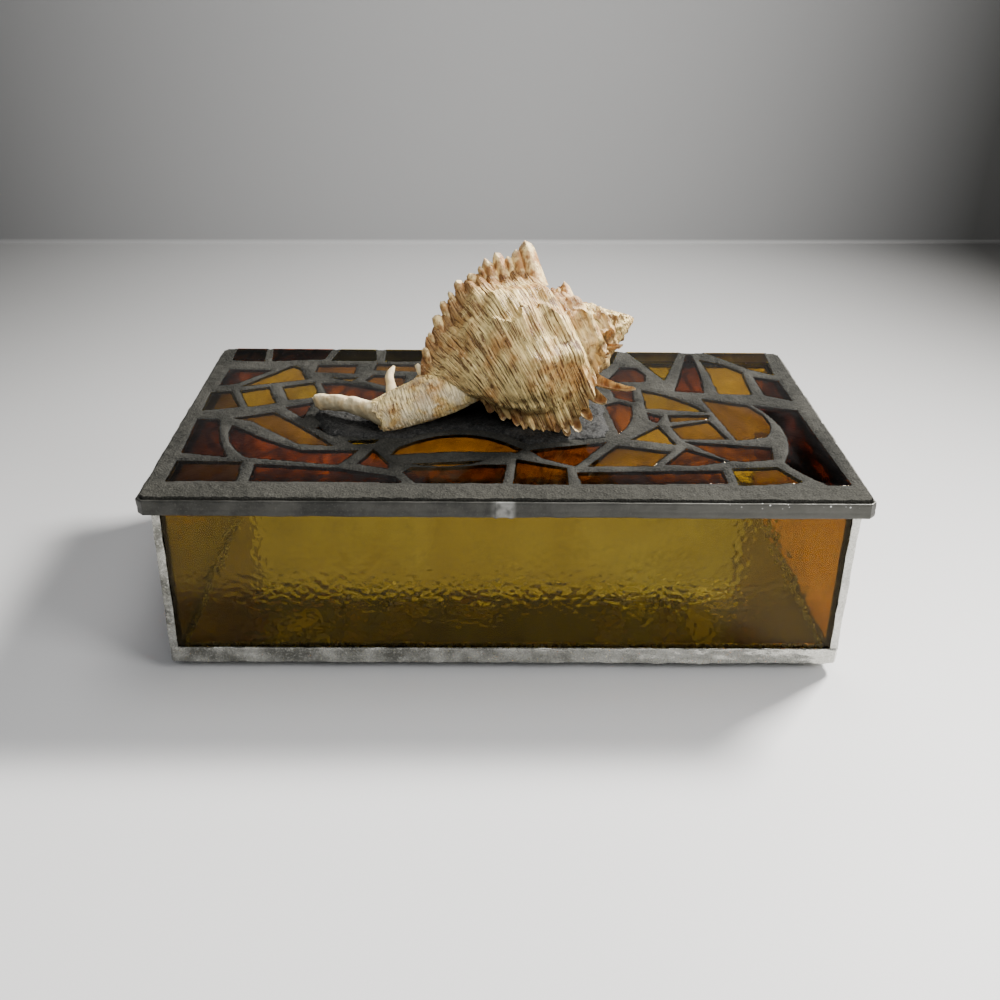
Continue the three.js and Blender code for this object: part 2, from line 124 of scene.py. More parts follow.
def finishPiece(mesh, name, material, replaced=(), sharp=35):
    mesh.shade_smooth()
    mesh.set_sharp_from_angle(angle=math.radians(sharp))
    mesh.materials.clear()
    mesh.materials.append(material)
    piece = bpy.data.objects.new(name, mesh)
    bpy.context.scene.collection.objects.link(piece)
    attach(piece, "root")
    if replaced:
        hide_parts(*replaced)
    return piece


# the quads between neighbouring rows and columns of points, joined round where a side is closed
def gridFaces(rows, columns, start=0, closeRows=False, closeColumns=False, flip=False):
    i = np.arange(rows if closeRows else rows - 1)
    j = np.arange(columns if closeColumns else columns - 1)
    i, j = np.meshgrid(i, j, indexing="ij")
    nextI, nextJ = (i + 1) % rows, (j + 1) % columns
    quads = np.stack([i * columns + j, nextI * columns + j, nextI * columns + nextJ, i * columns + nextJ], -1)
    quads = quads.reshape(-1, 4) + start
    return quads[:, ::-1] if flip else quads


def closedSlab(front, back):  # two grids of the same size, joined round their rims
    rows, columns = front.shape[:2]
    count = rows * columns
    index = np.arange(count).reshape(rows, columns)
    rim = np.concatenate([index[:-1, 0], index[-1, :-1], index[:0:-1, -1], index[0, :0:-1]])
    after = np.roll(rim, -1)
    sides = np.stack([after, rim, rim + count, after + count], -1)
    faces = [gridFaces(rows, columns), gridFaces(rows, columns, count, flip=True), sides]
    return np.concatenate([front.reshape(-1, 3), back.reshape(-1, 3)]), faces


def joined(parts):  # several closed shapes as one list of points and faces
    points, faces, start = [], [], 0
    for shapePoints, shapeFaces in parts:
        points.append(np.asarray(shapePoints).reshape(-1, 3))
        faces += [np.asarray(block) + start for block in shapeFaces]
        start += len(points[-1])
    return np.concatenate(points), faces


def denseLoop(corners, spacing, rounds):  # closed outline with points every spacing, corners softened
    corners = np.asarray(corners, float)
    following = np.roll(corners, -1, axis=0)
    runs = []
    for a, b in zip(corners, following):
        steps = max(2, int(np.linalg.norm(b - a) / spacing))
        t = np.arange(steps)[:, None] / steps
        runs.append(a + (b - a) * t)
    loop = np.concatenate(runs)
    for _ in range(rounds):
        loop = (np.roll(loop, 1, axis=0) + 2 * loop + np.roll(loop, -1, axis=0)) / 4
    return loop


def cutRectangle(half, cut, inset):  # the eight corners of a rectangle with cut corners, moved inwards
    x, y = half[0] - inset, half[1] - inset
    c = np.maximum(cut - inset, 0.1)
    return np.stack([
        np.stack([x - c, -y]), np.stack([x, -y + c]), np.stack([x, y - c]), np.stack([x - c, y]),
        np.stack([-x + c, y]), np.stack([-x, y - c]), np.stack([-x, -y + c]), np.stack([-x + c, -y]),
    ])


def railRing(half, cut, section, spacing):  # a section of inset and height carried round the rectangle
    inset, height = section.T
    nextInset, nextHeight = np.roll(section, -1, axis=0).T

    def path(inward):
        corners = cutRectangle(half, cut, inset + inward)
        runs = []
        for a, b in zip(corners, np.roll(corners, -1, axis=0)):
            steps = max(3, int(np.linalg.norm((b - a)[:, 0]) / spacing))
            t = np.arange(steps)[:, None, None] / steps
            runs.append(a + (b - a) * t)
        return np.concatenate(runs)

    ground = path(0)
    outward = (path(-0.05) - path(0.05)) / 0.1
    along = np.roll(section, -1, axis=0) - np.roll(section, 1, axis=0)
    along /= np.linalg.norm(along, axis=1)[:, None]
    turn = np.sign(np.sum(inset * nextHeight - height * nextInset))
    normal = np.stack([along[:, 1], -along[:, 0]], -1) * turn  # outwards, in inset and height
    points = np.stack([ground[:, 0], ground[:, 1], np.broadcast_to(height, ground[:, 0].shape)], -1)
    push = np.stack([
        -outward[:, 0] * normal[:, 0], -outward[:, 1] * normal[:, 0],
        np.broadcast_to(normal[:, 1], ground[:, 0].shape)], -1)
    faces = gridFaces(points.shape[0], points.shape[1], closeRows=True, closeColumns=True, flip=turn < 0)
    return points, push, [faces]


# Shader maths

class Val:  # a socket that can be used in sums; anything else goes through Finish.node
    def __init__(self, finish, socket):
        self.finish = finish
        self.socket = socket

    def maths(self, operation, other=None, swapped=False):
        terms = [other, self] if swapped else [self, other]
        inputs = {i: term for i, term in enumerate(terms) if term is not None}
        return self.finish.node("ShaderNodeMath", inputs, operation=operation)

    def __add__(self, other):
        return self.maths("ADD", other)

    def __sub__(self, other):
        return self.maths("SUBTRACT", other)

    def __mul__(self, other):
        return self.maths("MULTIPLY", other)

    def __truediv__(self, other):
        return self.maths("DIVIDE", other)

    def __rsub__(self, other):
        return self.maths("SUBTRACT", other, swapped=True)

    def __pow__(self, other):
        return self.maths("POWER", other)

    __radd__ = __add__
    __rmul__ = __mul__

    def between(self, low, high):  # 0 below low, 1 above high, smooth in between
        inputs = {"Value": self, "From Min": low, "From Max": high}
        return self.finish.node("ShaderNodeMapRange", inputs, interpolation_type="SMOOTHSTEP")

    def atMost(self, other):
        return self.maths("MINIMUM", other)


class Finish:  # one material: a Principled shader and what feeds it
    def __init__(self, name, **plain):
        self.material = bpy.data.materials.new(name)
        self.material.use_nodes = True
        self.tree = self.material.node_tree
        self.shader = self.tree.nodes["Principled BSDF"]
        for socket, value in plain.items():
            self.shader.inputs[socket.replace("_", " ")].default_value = value

    def node(self, kind, inputs=None, out=0, **settings):
        made = self.tree.nodes.new(kind)
        for setting, value in settings.items():
            setattr(made, setting, value)
        for socket, value in (inputs or {}).items():
            if isinstance(value, Val):
                self.tree.links.new(value.socket, made.inputs[socket])
            else:
                target = made.inputs[socket]
                isColour = target.type == "RGBA" and len(value) == 3
                target.default_value = (*value, 1) if isColour else value
        return Val(self, made.outputs[out])

    def coords(self, stretch=(1, 1, 1), turn=(0, 0, 0), move=(0, 0, 0)):  # Object coordinates in mm
        here = self.node("ShaderNodeTexCoord", out="Object")
        scale = tuple(s / mm for s in stretch)
        inputs = {"Vector": here, "Scale": scale, "Rotation": turn, "Location": move}
        return self.node("ShaderNodeMapping", inputs)

    def noise(self, size, detail=2, rough=0.5, twist=0, where=None, out=0):
        where = where or self.coords()
        inputs = {"Vector": where, "Scale": 1 / size, "Detail": detail}
        inputs.update({"Roughness": rough, "Distortion": twist})
        return self.node("ShaderNodeTexNoise", inputs, out=out)

    def cells(self, size, where=None, feature="F1"):  # distance to the middle or the edge of a cell
        inputs = {"Vector": where or self.coords(), "Scale": 1 / size}
        return self.node("ShaderNodeTexVoronoi", inputs, out="Distance", feature=feature)

    def mix(self, share, a, b):
        return self.node("ShaderNodeMix", {0: share, 6: a, 7: b}, out=2, data_type="RGBA")

    def axis(self, index):
        return self.node("ShaderNodeSeparateXYZ", {0: self.coords()}, out=index)

    def mark(self, name):  # a value kept at the mesh's points
        return self.node("ShaderNodeAttribute", out="Fac", attribute_name=name)

    def bump(self, height, depth, under=None):  # depth in mm
        inputs = {"Height": height, "Distance": depth * mm}
        if under:
            inputs["Normal"] = under
        return self.node("ShaderNodeBump", inputs)

    def feed(self, **links):
        for socket, value in links.items():
            self.tree.links.new(value.socket, self.shader.inputs[socket.replace("_", " ")])
        return self.material


# Camera, floor and lights. The view is fitted to the corners of the box in the photograph.
view = {
    "focalPixels": 1121.84, "framePixels": 1000, "sensor": 36,
    "place": (-8.15, -340.3, 206.65), "yaw": 0.0204, "pitch": 0.4795, "roll": -0.0149,
}


def makeCamera():
    data = bpy.data.cameras.new("camera")
    data.sensor_width = view["sensor"]
    data.lens = view["focalPixels"] / view["framePixels"] * view["sensor"]
    data.clip_start, data.clip_end = 0.01, 20
    camera = bpy.data.objects.new("camera", data)
    bpy.context.scene.collection.objects.link(camera)
    turned = Matrix.Rotation(-view["yaw"], 4, "Z") @ Matrix.Rotation(math.pi / 2 - view["pitch"], 4, "X")
    camera.matrix_world = (
        Matrix.Translation([v * mm for v in view["place"]]) @ turned @ Matrix.Rotation(-view["roll"], 4, "Z"))
    bpy.context.scene.camera = camera


studio = {
    "floorHalf": 1600, "wallAt": 455, "wallSkew": -0.035, "wallHigh": 900, "coveRadius": 3,
    "nearColour": (0.67, 0.67, 0.675), "farShade": (0.03, 0.03, 0.028), "topShade": (0.02, 0.02, 0.02),
    # the floor darkens from the front to the wall, less in the middle, and the wall darkens with height:
    # painted shade for the fall-off of the studio light
    "farFrom": -320, "farAt": 350, "midShare": 0.47, "sideShare": 0.5,
    "brightAt": -50, "brightHalf": 400, "darkFrom": 250, "darkAt": 430,
    "world": (0.62, 0.64, 0.68), "worldStrength": 0.17,
    # name: place, aim, width and height in mm, watts, spread in degrees, colour
    "lights": {
        "keyLight": ((470, 310, 600), (20, -60, 30), (190, 150), 7.2, 96, (1.0, 0.975, 0.93)),
        "rightLight": ((640, -420, 500), (90, -60, 30), (320, 320), 5.0, 180, (1.0, 0.99, 0.97)),
        "topLight": ((90, 60, 820), (0, 0, 30), (420, 320), 3.2, 180, (1.0, 0.99, 0.97)),
        "frontLight": ((-60, -620, 560), (0, 0, 40), (520, 320), 2.0, 180, (0.97, 0.985, 1.0)),
    },
}


def makeStudio():
    half, wallAt, radius = studio["floorHalf"], studio["wallAt"], studio["coveRadius"]
    bend = np.linspace(0, math.pi / 2, 13)
    y = np.concatenate([[-half], wallAt - radius + radius * np.sin(bend), [wallAt]])
    z = np.concatenate([[0], radius - radius * np.cos(bend), [studio["wallHigh"]]])
    x = np.linspace(-half, half, 3)
    points = np.stack(np.broadcast_arrays(x[:, None], y, z), -1)
    points[..., 1] -= np.where(y > 0, points[..., 0] * studio["wallSkew"], 0)
    mesh = bpy.data.meshes.new("floor")
    mesh.from_pydata((points.reshape(-1, 3) * mm).tolist(), [], gridFaces(len(x), len(y)).tolist())
    mesh.shade_smooth()
    floor = bpy.data.objects.new("floor", mesh)
    bpy.context.scene.collection.objects.link(floor)
    paint = Finish("floorPaint", Roughness=0.5, Specular_IOR_Level=0.3)
    across, depth, height = (paint.axis(i) for i in range(3))
    side = (((across - studio["brightAt"]) / studio["brightHalf"]) ** 2).atMost(1)
    most = side * studio["sideShare"] + studio["midShare"]
    # painted shade: the floor gets darker towards the wall and the sides, and the wall towards its top
    tone = paint.mix(
        depth.between(studio["farFrom"], studio["farAt"]) * most, studio["nearColour"], studio["farShade"])
    tone = paint.mix(height.between(studio["darkFrom"], studio["darkAt"]), tone, studio["topShade"])
    mesh.materials.append(paint.feed(Base_Color=tone))
    world = bpy.data.worlds.new("world")
    bpy.context.scene.world = world
    world.use_nodes = True
    background = world.node_tree.nodes["Background"]
    background.inputs["Color"].default_value = (*studio["world"], 1)
    background.inputs["Strength"].default_value = studio["worldStrength"]
    for name, (place, aim, size, watts, spread, colour) in studio["lights"].items():
        data = bpy.data.lights.new(name, "AREA")
        data.shape = "RECTANGLE"
        data.size, data.size_y = size[0] * mm, size[1] * mm
        data.energy = watts
        data.spread = math.radians(spread)
        data.color = colour
        light = bpy.data.objects.new(name, data)
        bpy.context.scene.collection.objects.link(light)
        light.location = [v * mm for v in place]
        light.rotation_mode = "QUATERNION"
        light.rotation_quaternion = (Vector(aim) - Vector(place)).to_track_quat("-Z", "Y")


makeCamera()
makeStudio()
print("camera, floor and lights made")


# Lead and solder
metals = {
    # dark and light tone, roughness, metallic share, and how much paler it gets to the right
    "dullLead": ((0.022, 0.022, 0.019), (0.05, 0.049, 0.043), 0.46, 0.12, 0.6),
    "tinnedSolder": ((0.13, 0.128, 0.112), (0.40, 0.395, 0.36), 0.2, 0.5, 0.45),
    "patch": 9, "grain": 0.7, "wearCells": 2.3, "grainRelief": 0.12, "patchRelief": 0.4,
}

rail = {
    "spacing": 0.8, "lidCut": 2.0, "footCut": 0.8, "lidDents": 0.16, "footWrinkles": 0.30,
    "sectionStep": 0.42, "footStep": 0.36,
    # the lid's channel: reach of its flanges over and under the glass, and the fold line on the web
    "overReach": 4, "underReach": 7, "foldUp": 2.2, "foldWide": 0.25, "foldDeep": 0.12,
    # the soldered joint on the front web
    "jointRidges": (-3.4, 0.8), "jointWide": 0.55, "jointHeight": 0.45,
    "jointFrom": (-5.5, -2.5), "jointTo": (0.5, 2.5), "jointTone": (0.24, 0.24, 0.225),
    "fleckFrom": (58, 74), "fleckUp": (58.5, 60.2), "fleckTone": (0.8, 0.8, 0.77),
    # the foot channel: underside, slot for the panes, inner wall and ledge
    "bottom": 3.3, "slot": 3, "innerWall": 0.8, "ledge": 4,
}

feet = {"inset": 9, "rightRadius": 6.2, "leftRadius": 5.2, "sole": 4.6, "bulge": 0.07, "steps": 40}


def leadFinish(name, jointed):  # blotchy metal, with a soldered joint and flecks on the lid's web
    dark, light, rough, shine, worn = metals[name]
    metal = Finish(name, Specular_IOR_Level=0.3)
    across, depth, height = (metal.axis(i) for i in range(3))
    broad = metal.noise(metals["patch"], 3, 0.6)
    fine = metal.noise(metals["grain"], 3, 0.6)
    scratch = metal.noise(1.2, 3, 0.6, where=metal.coords(stretch=(0.12, 1, 1)))
    tone = metal.mix(broad.between(0.35, 0.68), dark, light)
    # the tone gets paler towards the right end, by the metal's last value
    tone = metal.mix(across.between(-30, 100) * worn, tone, tuple(c * 2.2 for c in light))
    if jointed:
        joint = across.between(*rail["jointFrom"]) * (1 - across.between(*rail["jointTo"]))
        joint = joint * (1 - depth.between(-60, -58))
        tone = metal.mix(joint * broad.between(0.3, 0.5), tone, rail["jointTone"])
        flecks = (1 - metal.cells(1.5).between(0.12, 0.22)) * across.between(*rail["fleckFrom"])
        tone = metal.mix(flecks * height.between(*rail["fleckUp"]), tone, rail["fleckTone"])
    tone = metal.mix(fine.between(0.5, 0.78) * 0.55, tone, tuple(min(1, c * 1.9) for c in light))
    wear = metal.cells(metals["wearCells"], feature="SMOOTH_F1").between(0.15, 0.5)
    patches = metal.bump(broad, metals["patchRelief"])
    return metal.feed(
        Base_Color=tone,
        Metallic=fine.between(0.2, 0.6) * 0.35 + shine,
        Roughness=wear * -0.12 + broad * 0.2 + rough,
        Normal=metal.bump(fine * 0.6 + scratch * 0.5, metals["grainRelief"], under=patches),
    )


lead = leadFinish("dullLead", True)
solder = leadFinish("tinnedSolder", False)


def makeLidChannel():  # its section carried round the lid, dented, with a fold line on the outer web
    low, high = boxOf("lid_channel")
    baseLow, baseHigh = boxOf("lid_base_glass")
    z0, z1 = low[2], high[2]
    under, over = rail["underReach"], rail["overReach"]
    flange = baseLow[2] - z0
    web = high[0] - baseHigh[0]
    corners = [
        (0, z0), (under, z0), (under, z0 + flange), (web, z0 + flange), (web, baseHigh[2]),
        (over, baseHigh[2]), (over, baseHigh[2] + flange), (web, baseHigh[2] + flange), (web, z1), (0, z1)]
    section = denseLoop(corners, rail["sectionStep"], 2)
    points, push, faces = railRing(high[:2], rail["lidCut"], section, rail["spacing"])
    dents = layeredWaves(points, (5, 5, 3), 4, 3) * rail["lidDents"]
    foldLine = np.exp(-((points[..., 2] - z0 - rail["foldUp"]) / rail["foldWide"]) ** 2) * rail["foldDeep"]
    outerFace = smoothStep(-section[:, 0], -0.5, -0.1)
    amount = dents * (0.4 + 0.6 * outerFace) - foldLine * outerFace - 0.1
    ridges = sum(np.exp(-((points[..., 0] - x) / rail["jointWide"]) ** 2) for x in rail["jointRidges"])
    amount = amount + ridges * rail["jointHeight"] * outerFace * (points[..., 1] < 4 - high[1])
    return makePiece("lidEdge", points + push * amount[..., None], faces, "lead", lead, ["lid_channel"])


def makeFootChannel():  # a channel with a ledge for the mirror, wrinkled outside, and four feet
    paneLow = boxOf("front_pane")[0]
    high = boxOf("foot_channel")[1]
    bottom, seat, top = rail["bottom"], paneLow[2], high[2]
    wall = high[1] + paneLow[1]
    slot = wall + rail["slot"]
    inner = slot + rail["innerWall"]
    ledge = inner + rail["ledge"]
    corners = [
        (0, bottom), (0, top), (wall, top), (wall, seat), (slot, seat),
        (slot, top), (inner, top), (inner, seat), (ledge, seat), (ledge, bottom)]
    section = denseLoop(corners, rail["footStep"], 2)
    points, push, faces = railRing(high[:2], rail["footCut"], section, rail["spacing"])
    outerFace = smoothStep(-section[:, 0], -0.6, -0.1)
    wrinkles = layeredWaves(points, (4.5, 4.5, 2.0), 3, 8) + np.abs(waves(points, (2.2, 2.2, 6), 4)) * 0.8
    rougher = 0.55 + 0.6 * smoothStep(points[..., 0], 10, 60)
    amount = wrinkles * rail["footWrinkles"] * rougher * (0.3 + 0.7 * outerFace) - 0.12
    parts = [(points + push * amount[..., None], faces)]
    for sx, sy in itertools.product((-1, 1), repeat=2):
        radius = feet["rightRadius"] if sx > 0 else feet["leftRadius"]
        x, y = sx * (high[0] - feet["inset"]), sy * (high[1] - feet["inset"])
        parts.append(footBlob(x, y, bottom + 0.5, radius))
    return makePiece("footEdge", *joined(parts), "solder", solder, ["foot_channel"])


def footBlob(x, y, height, radius):  # flattened drop of solder: a profile turned round, with a flat sole
    corners = [(0, 0), (feet["sole"], 0), (radius, 1.4), (radius, height), (0, height)]
    profile = denseLoop(corners, 0.5, 1)[:-1]
    steps = feet["steps"]
    turn = (np.arange(steps) / steps * 2 * math.pi)[:, None]
    r, z = np.maximum(profile[:, 0], 0.02), np.clip(profile[:, 1], 0, None)
    points = np.stack(np.broadcast_arrays(x + np.cos(turn) * r, y + np.sin(turn) * r, z), -1)
    bulge = 1 + feet["bulge"] * waves(points, 4, 5)[..., None] * smoothStep(points[..., 2:], 0.3, 1.5)
    middle = np.array([x, y])
    points[..., :2] = middle + (points[..., :2] - middle) * bulge
    return points, [gridFaces(steps, len(z), closeRows=True, closeColumns=True)]


makeLidChannel()
makeFootChannel()
print("lead edges made")


strips = {"thick": 0.6, "outlineStep": 0.3, "heightStep": 0.45, "below": 0.4, "wobble": 0.16}


def makeCornerStrips():  # an angle section drawn upwards, its faces a little wavy
    for name in ("front_right_strip", "front_left_strip", "back_right_strip", "back_left_strip"):
        low, high = boxOf(name)
        sx, sy = np.sign(low[0] + high[0]), np.sign(low[1] + high[1])
        width, depth = high[0] - low[0], high[1] - low[1]
        x1, y1 = max(abs(low[0]), abs(high[0])), max(abs(low[1]), abs(high[1]))
        x0, y0 = x1 - strips["thick"], y1 - strips["thick"]
        corners = [(x1 - width, y1), (x1, y1), (x1, y1 - depth), (x0, y1 - depth), (x0, y0), (x1 - width, y0)]
        loop = denseLoop(corners, strips["outlineStep"], 1)
        heights = np.arange(low[2] - strips["below"], high[2] + 0.01, strips["heightStep"])
        points = np.stack(np.broadcast_arrays(loop[:, 0] * sx, loop[:, 1] * sy, heights[:, None]), -1).copy()
        points[..., 0] += layeredWaves(points, (3.5, 3.5, 5), 3, 21) * sx * strips["wobble"]
        points[..., 1] += layeredWaves(points, (3.5, 3.5, 4), 3, 23) * sy * strips["wobble"]
        inwards = sx * sy < 0
        lowest = np.arange(len(loop))[None, :]
        caps = [lowest, lowest[:, ::-1] + (len(heights) - 1) * len(loop)]
        if inwards:
            caps = [cap[:, ::-1] for cap in caps]
        faces = [gridFaces(len(heights), len(loop), closeColumns=True, flip=inwards), *caps]
        makePiece(name.replace("_strip", "_edge"), points, faces, "solder", solder, [name])


makeCornerStrips()
print("corner strips made")


# Panes of hammered glass
glassLooks = {
    # material slot, or side for the amber side panes: pale colour, deep colour, streak size
    "hammered_amber": ((0.745, 0.625, 0.165), (0.66, 0.52, 0.11), 60),
    "side": ((0.215, 0.075, 0.018), (0.145, 0.043, 0.009), 40),
    "amber": ((0.32, 0.16, 0.015), (0.15, 0.062, 0.007), 22),
    "yellow": ((0.52, 0.36, 0.03), (0.32, 0.18, 0.008), 16),
    "olive": ((0.34, 0.25, 0.035), (0.20, 0.13, 0.015), 18),
    "brown": ((0.30, 0.085, 0.006), (0.15, 0.034, 0.003), 18),
    "dark": ((0.32, 0.065, 0.010), (0.12, 0.022, 0.005), 18),
}


glass = {
    "paneBend": 1.46, "tileBend": 1.2, "shine": (0.45, 0.36, 0.2, 1), "seedCells": 1.9,
    "webShare": 0.42, "hazeFrom": 46, "hazeTo": 54, "haze": 0.35,
    "markCells": 1.7, "rimCells": 2.2, "rimPaintedShade": 0.4,
}

pane = {
    "across": {"front": 400, "side": 220}, "up": 104, "topGap": 0.15,
    "frontDents": 0.17, "otherDents": 0.04, "largeDent": 2.0, "smallDent": 1.4,
    "sag": 0.05, "pressed": 0.06, "ripple": 0.05, "frontMarks": 0.09, "sideMarks": 0.035,
    # name: the side that it faces, and its material slot
    "sides": {
        "front_pane": (0, -1, "hammered_amber"), "back_pane": (0, 1, "hammered_amber"),
        "left_pane": (-1, 0, "amber"), "right_pane": (1, 0, "amber")},
}


# Streaky coloured glass. seed picks the part of the sheet, ripple and hammer are heights of relief in mm,
# bubbles is the share of bright seeds, and web darkens a net of lines in the tiles.
def glassFinish(name, look, seed, ripple, bubbles=0.5, hammer=0.0, rough=0.03, web=0.0):
    pale, deep, size = look
    bend = glass["tileBend"] if web else glass["paneBend"]
    sheet = Finish(name, Transmission_Weight=1.0, IOR=bend, Specular_Tint=glass["shine"])
    here = sheet.coords(stretch=(1, 0.45, 1), turn=(0, 0, seed * 1.3), move=(seed * 17, seed * 9, 0))
    streaks = sheet.noise(size, 3, 0.6, 1.2, where=here)
    tone = sheet.mix(streaks.between(0.3, 0.7), deep, pale)
    if web:
        wander = sheet.noise(4, 2, 0.5, out=1, where=here)
        bent = sheet.node("ShaderNodeVectorMath", {0: here, 1: wander}, operation="ADD")
        edges = sheet.cells(size * glass["webShare"], feature="DISTANCE_TO_EDGE", where=bent)
        tone = sheet.mix((1 - edges.between(0.02, 0.2)) * web, tone, tuple(c * 0.16 for c in deep))
    seeds = sheet.cells(glass["seedCells"], where=sheet.coords(stretch=(1, 0.6, 1), turn=(0, 0, seed)))
    spots = 1 - seeds.between(0.06, 0.2)
    tone = sheet.mix(spots * bubbles, tone, tuple(min(1, c * 1.6 + 0.05) for c in pale))
    swell = sheet.noise(5.5, 1, 0.5, where=here)
    small = sheet.noise(1.2, 2, 0.5)
    normal = sheet.bump(swell + small * 0.12 + spots * 0.08, ripple)
    if hammer:
        shifted = sheet.coords(move=(3, 5, 7))
        # painted shade: in patches the rims of the hammered dents are darkened, for the light the dents bend
        # away
        edges = sheet.cells(glass["rimCells"], feature="DISTANCE_TO_EDGE", where=shifted)
        patches = sheet.noise(9, 3, 0.6).between(0.45, 0.65)
        rims = (1 - edges.between(0.0, 0.16)) * patches * glass["rimPaintedShade"]
        tone = sheet.mix(rims, tone, tuple(c * 0.5 for c in deep))
        marks = sheet.cells(glass["markCells"], feature="SMOOTH_F1", where=shifted) + small * 0.3
        normal = sheet.bump(marks, hammer, under=normal)
    rough = spots * 0.12 + rough
    if web:
        rough = rough + sheet.axis(1).between(glass["hazeFrom"], glass["hazeTo"]) * glass["haze"]
    return sheet.feed(Base_Color=tone, Roughness=rough, Normal=normal)


def makePanes():  # two grids a pane's thickness apart, the inner one dented
    yellow, amber, ripple = glassLooks["hammered_amber"], glassLooks["side"], pane["ripple"]
    front = glassFinish("hammeredAmberGlass", yellow, 1, ripple, 0, pane["frontMarks"], 0)
    side = glassFinish("sideAmberGlass", amber, 2, ripple, 0, pane["sideMarks"], 0)
    for name, (sx, sy, slot) in pane["sides"].items():
        low, high = boxOf(name)
        through, along = (1, 0) if sy else (0, 1)  # the axes through the pane and along it
        count = pane["across"]["front" if sy else "side"]
        u = np.linspace(low[along], high[along], count) * (sx - sy)
        z = np.linspace(low[2], high[2] - pane["topGap"], pane["up"])
        outer, inner = (high, low) if sx + sy > 0 else (low, high)
        flat = np.zeros((count, len(z), 3))
        flat[..., along], flat[..., through], flat[..., 2] = u[:, None], outer[through], z
        back = flat.copy()
        back[..., through] = inner[through]
        relief = flatPoints(flat[..., along], flat[..., 2] + 200 * sy + 400 * sx)
        normal = np.array([sx, sy, 0])
        dents = pane["frontDents"] if sy < 0 else pane["otherDents"]
        back = back + normal * (hammerMarks(relief) * dents)[..., None]
        flat = flat + normal * (waves(relief, 22, 2) * pane["sag"] - pane["pressed"])[..., None]
        pieceName, finish = name.replace("_pane", "_glass"), front if sy else side
        makePiece(pieceName, *closedSlab(flat, back), slot, finish, [name], 60)


def hammerMarks(relief):  # shallow rounded dents of two sizes, from 0 to about 1
    warped = relief + waves(relief, 6, 9)[..., None] * 1.2
    large = dimples(warped / np.array([1.15, 1, 1]), pane["largeDent"], 5)
    small = dimples(warped, pane["smallDent"], 6)
    return np.clip(1 - large ** 2, 0, 1) * 0.75 + np.clip(1 - small ** 2, 0, 1) * 0.3


makePanes()
print("panes made")


# The floor of the box is silvered glass, its painted back below. The lid's sheet is clear.
sheets = {
    "silver": (0.74, 0.75, 0.72), "paint": (0.12, 0.12, 0.125), "speck": (0.2, 0.18, 0.14),
    "clearDim": (0.80, 0.78, 0.70), "clearBright": (0.90, 0.90, 0.86), "clearBend": 1.2,
}


def refinish(node, material):
    nodes[node].data.materials.clear()
    nodes[node].data.materials.append(material)


def makeMirror():
    mirror = Finish("mirrorGlass", Specular_IOR_Level=0.5)
    low, high = boxOf("mirror_floor")
    above = mirror.axis(2).between(low[2] + 0.3, high[2] - 0.4)
    haze = mirror.noise(14, 4, 0.6)
    specks = 1 - mirror.cells(7).between(0.02, 0.05)
    tone = mirror.mix(above, sheets["paint"], sheets["silver"])
    tone = mirror.mix(specks * 0.5, tone, sheets["speck"])
    rough = haze.between(0.4, 0.8) * 0.05 + 0.03 + (1 - above) * 0.5
    refinish("mirror_floor", mirror.feed(Base_Color=tone, Metallic=above, Roughness=rough))


def makeBaseGlass():
    clear = Finish("clearSheetGlass", Transmission_Weight=1.0, IOR=sheets["clearBend"], Roughness=0.02)
    haze = clear.noise(30, 3, 0.6)
    tone = clear.mix(haze.between(0.3, 0.7), sheets["clearDim"], sheets["clearBright"])
    refinish("lid_base_glass", clear.feed(Base_Color=tone))


makeMirror()
makeBaseGlass()


# Tiles
mosaic = {
    "bevel": 0.25, "lift": 0.06, "tileGlass": 1.8, "grow": 0.55, "sliverGap": 0.3, "ripple": 0.26,
    # dark net in each colour of glass
    "webs": {"amber": 0.25, "yellow": 0.15, "olive": 0.2, "brown": 0.8, "dark": 0.8},
}

# Small slivers between the larger tiles: slot and corners in mm, anticlockwise
slivers = {
    "sliverLeft": ("brown", [(-73, 6.5), (-66, -2.5), (-64.5, 11)]),
    "sliverYellow": ("yellow", [(-61.5, 34), (-53.5, 30.5), (-51.5, 34.5)]),
    "sliverCanal": ("yellow", [(-49.5, -20), (-47.5, -22.5), (-41, -21.5), (-40, -19)]),
    "sliverDark": ("dark", [(-60.5, -10), (-54, -16.5), (-53, -14.5), (-59, -8.5)]),
    "sliverFront": ("amber", [(-29, -36), (-25, -37.2), (-17.5, -38), (-11, -36), (-7, -33.5)]),
    "sliverStrip": ("amber", [(54, 2), (54, -3.5), (67, -1), (68, 2.3)]),
    "sliverMiddle": ("dark", [(47.5, 4.5), (47.5, -2), (49.5, -4.5), (52, 1)]),
}


def cleanCopy(mesh):  # a copy of a node's mesh with shared corners and whole flat faces
    shape = bmesh.new()
    shape.from_mesh(mesh)
    bmesh.ops.remove_doubles(shape, verts=shape.verts, dist=1e-6)
    bmesh.ops.dissolve_limit(shape, angle_limit=math.radians(1), verts=shape.verts, edges=shape.edges)
    return shape


def prismShape(outline, bottom, top):  # a flat outline raised to a closed prism
    shape = bmesh.new()
    corners = [shape.verts.new((x * mm, y * mm, bottom * mm)) for x, y in outline]
    base = shape.faces.new(corners)
    made = bmesh.ops.extrude_face_region(shape, geom=[base])
    raised = [item for item in made["geom"] if isinstance(item, bmesh.types.BMVert)]
    bmesh.ops.translate(shape, verts=raised, vec=(0, 0, (top - bottom) * mm))
    bmesh.ops.recalc_face_normals(shape, faces=shape.faces)
    return shape


# the upright sides of a prism moved outwards; the grout laps over the joint
def grownSides(shape, distance):
    shape.normal_update()
    moves = []
    for corner in shape.verts:
        sides = [face.normal for face in corner.link_faces if abs(face.normal.z) < 0.5]
        if len(sides) == 2:
            both = sides[0] + sides[1]
            moves.append((corner, both * (distance * mm / max(0.5, 1 + sides[0].dot(sides[1])))))
    for corner, move in moves:
        corner.co.x += move.x
        corner.co.y += move.y


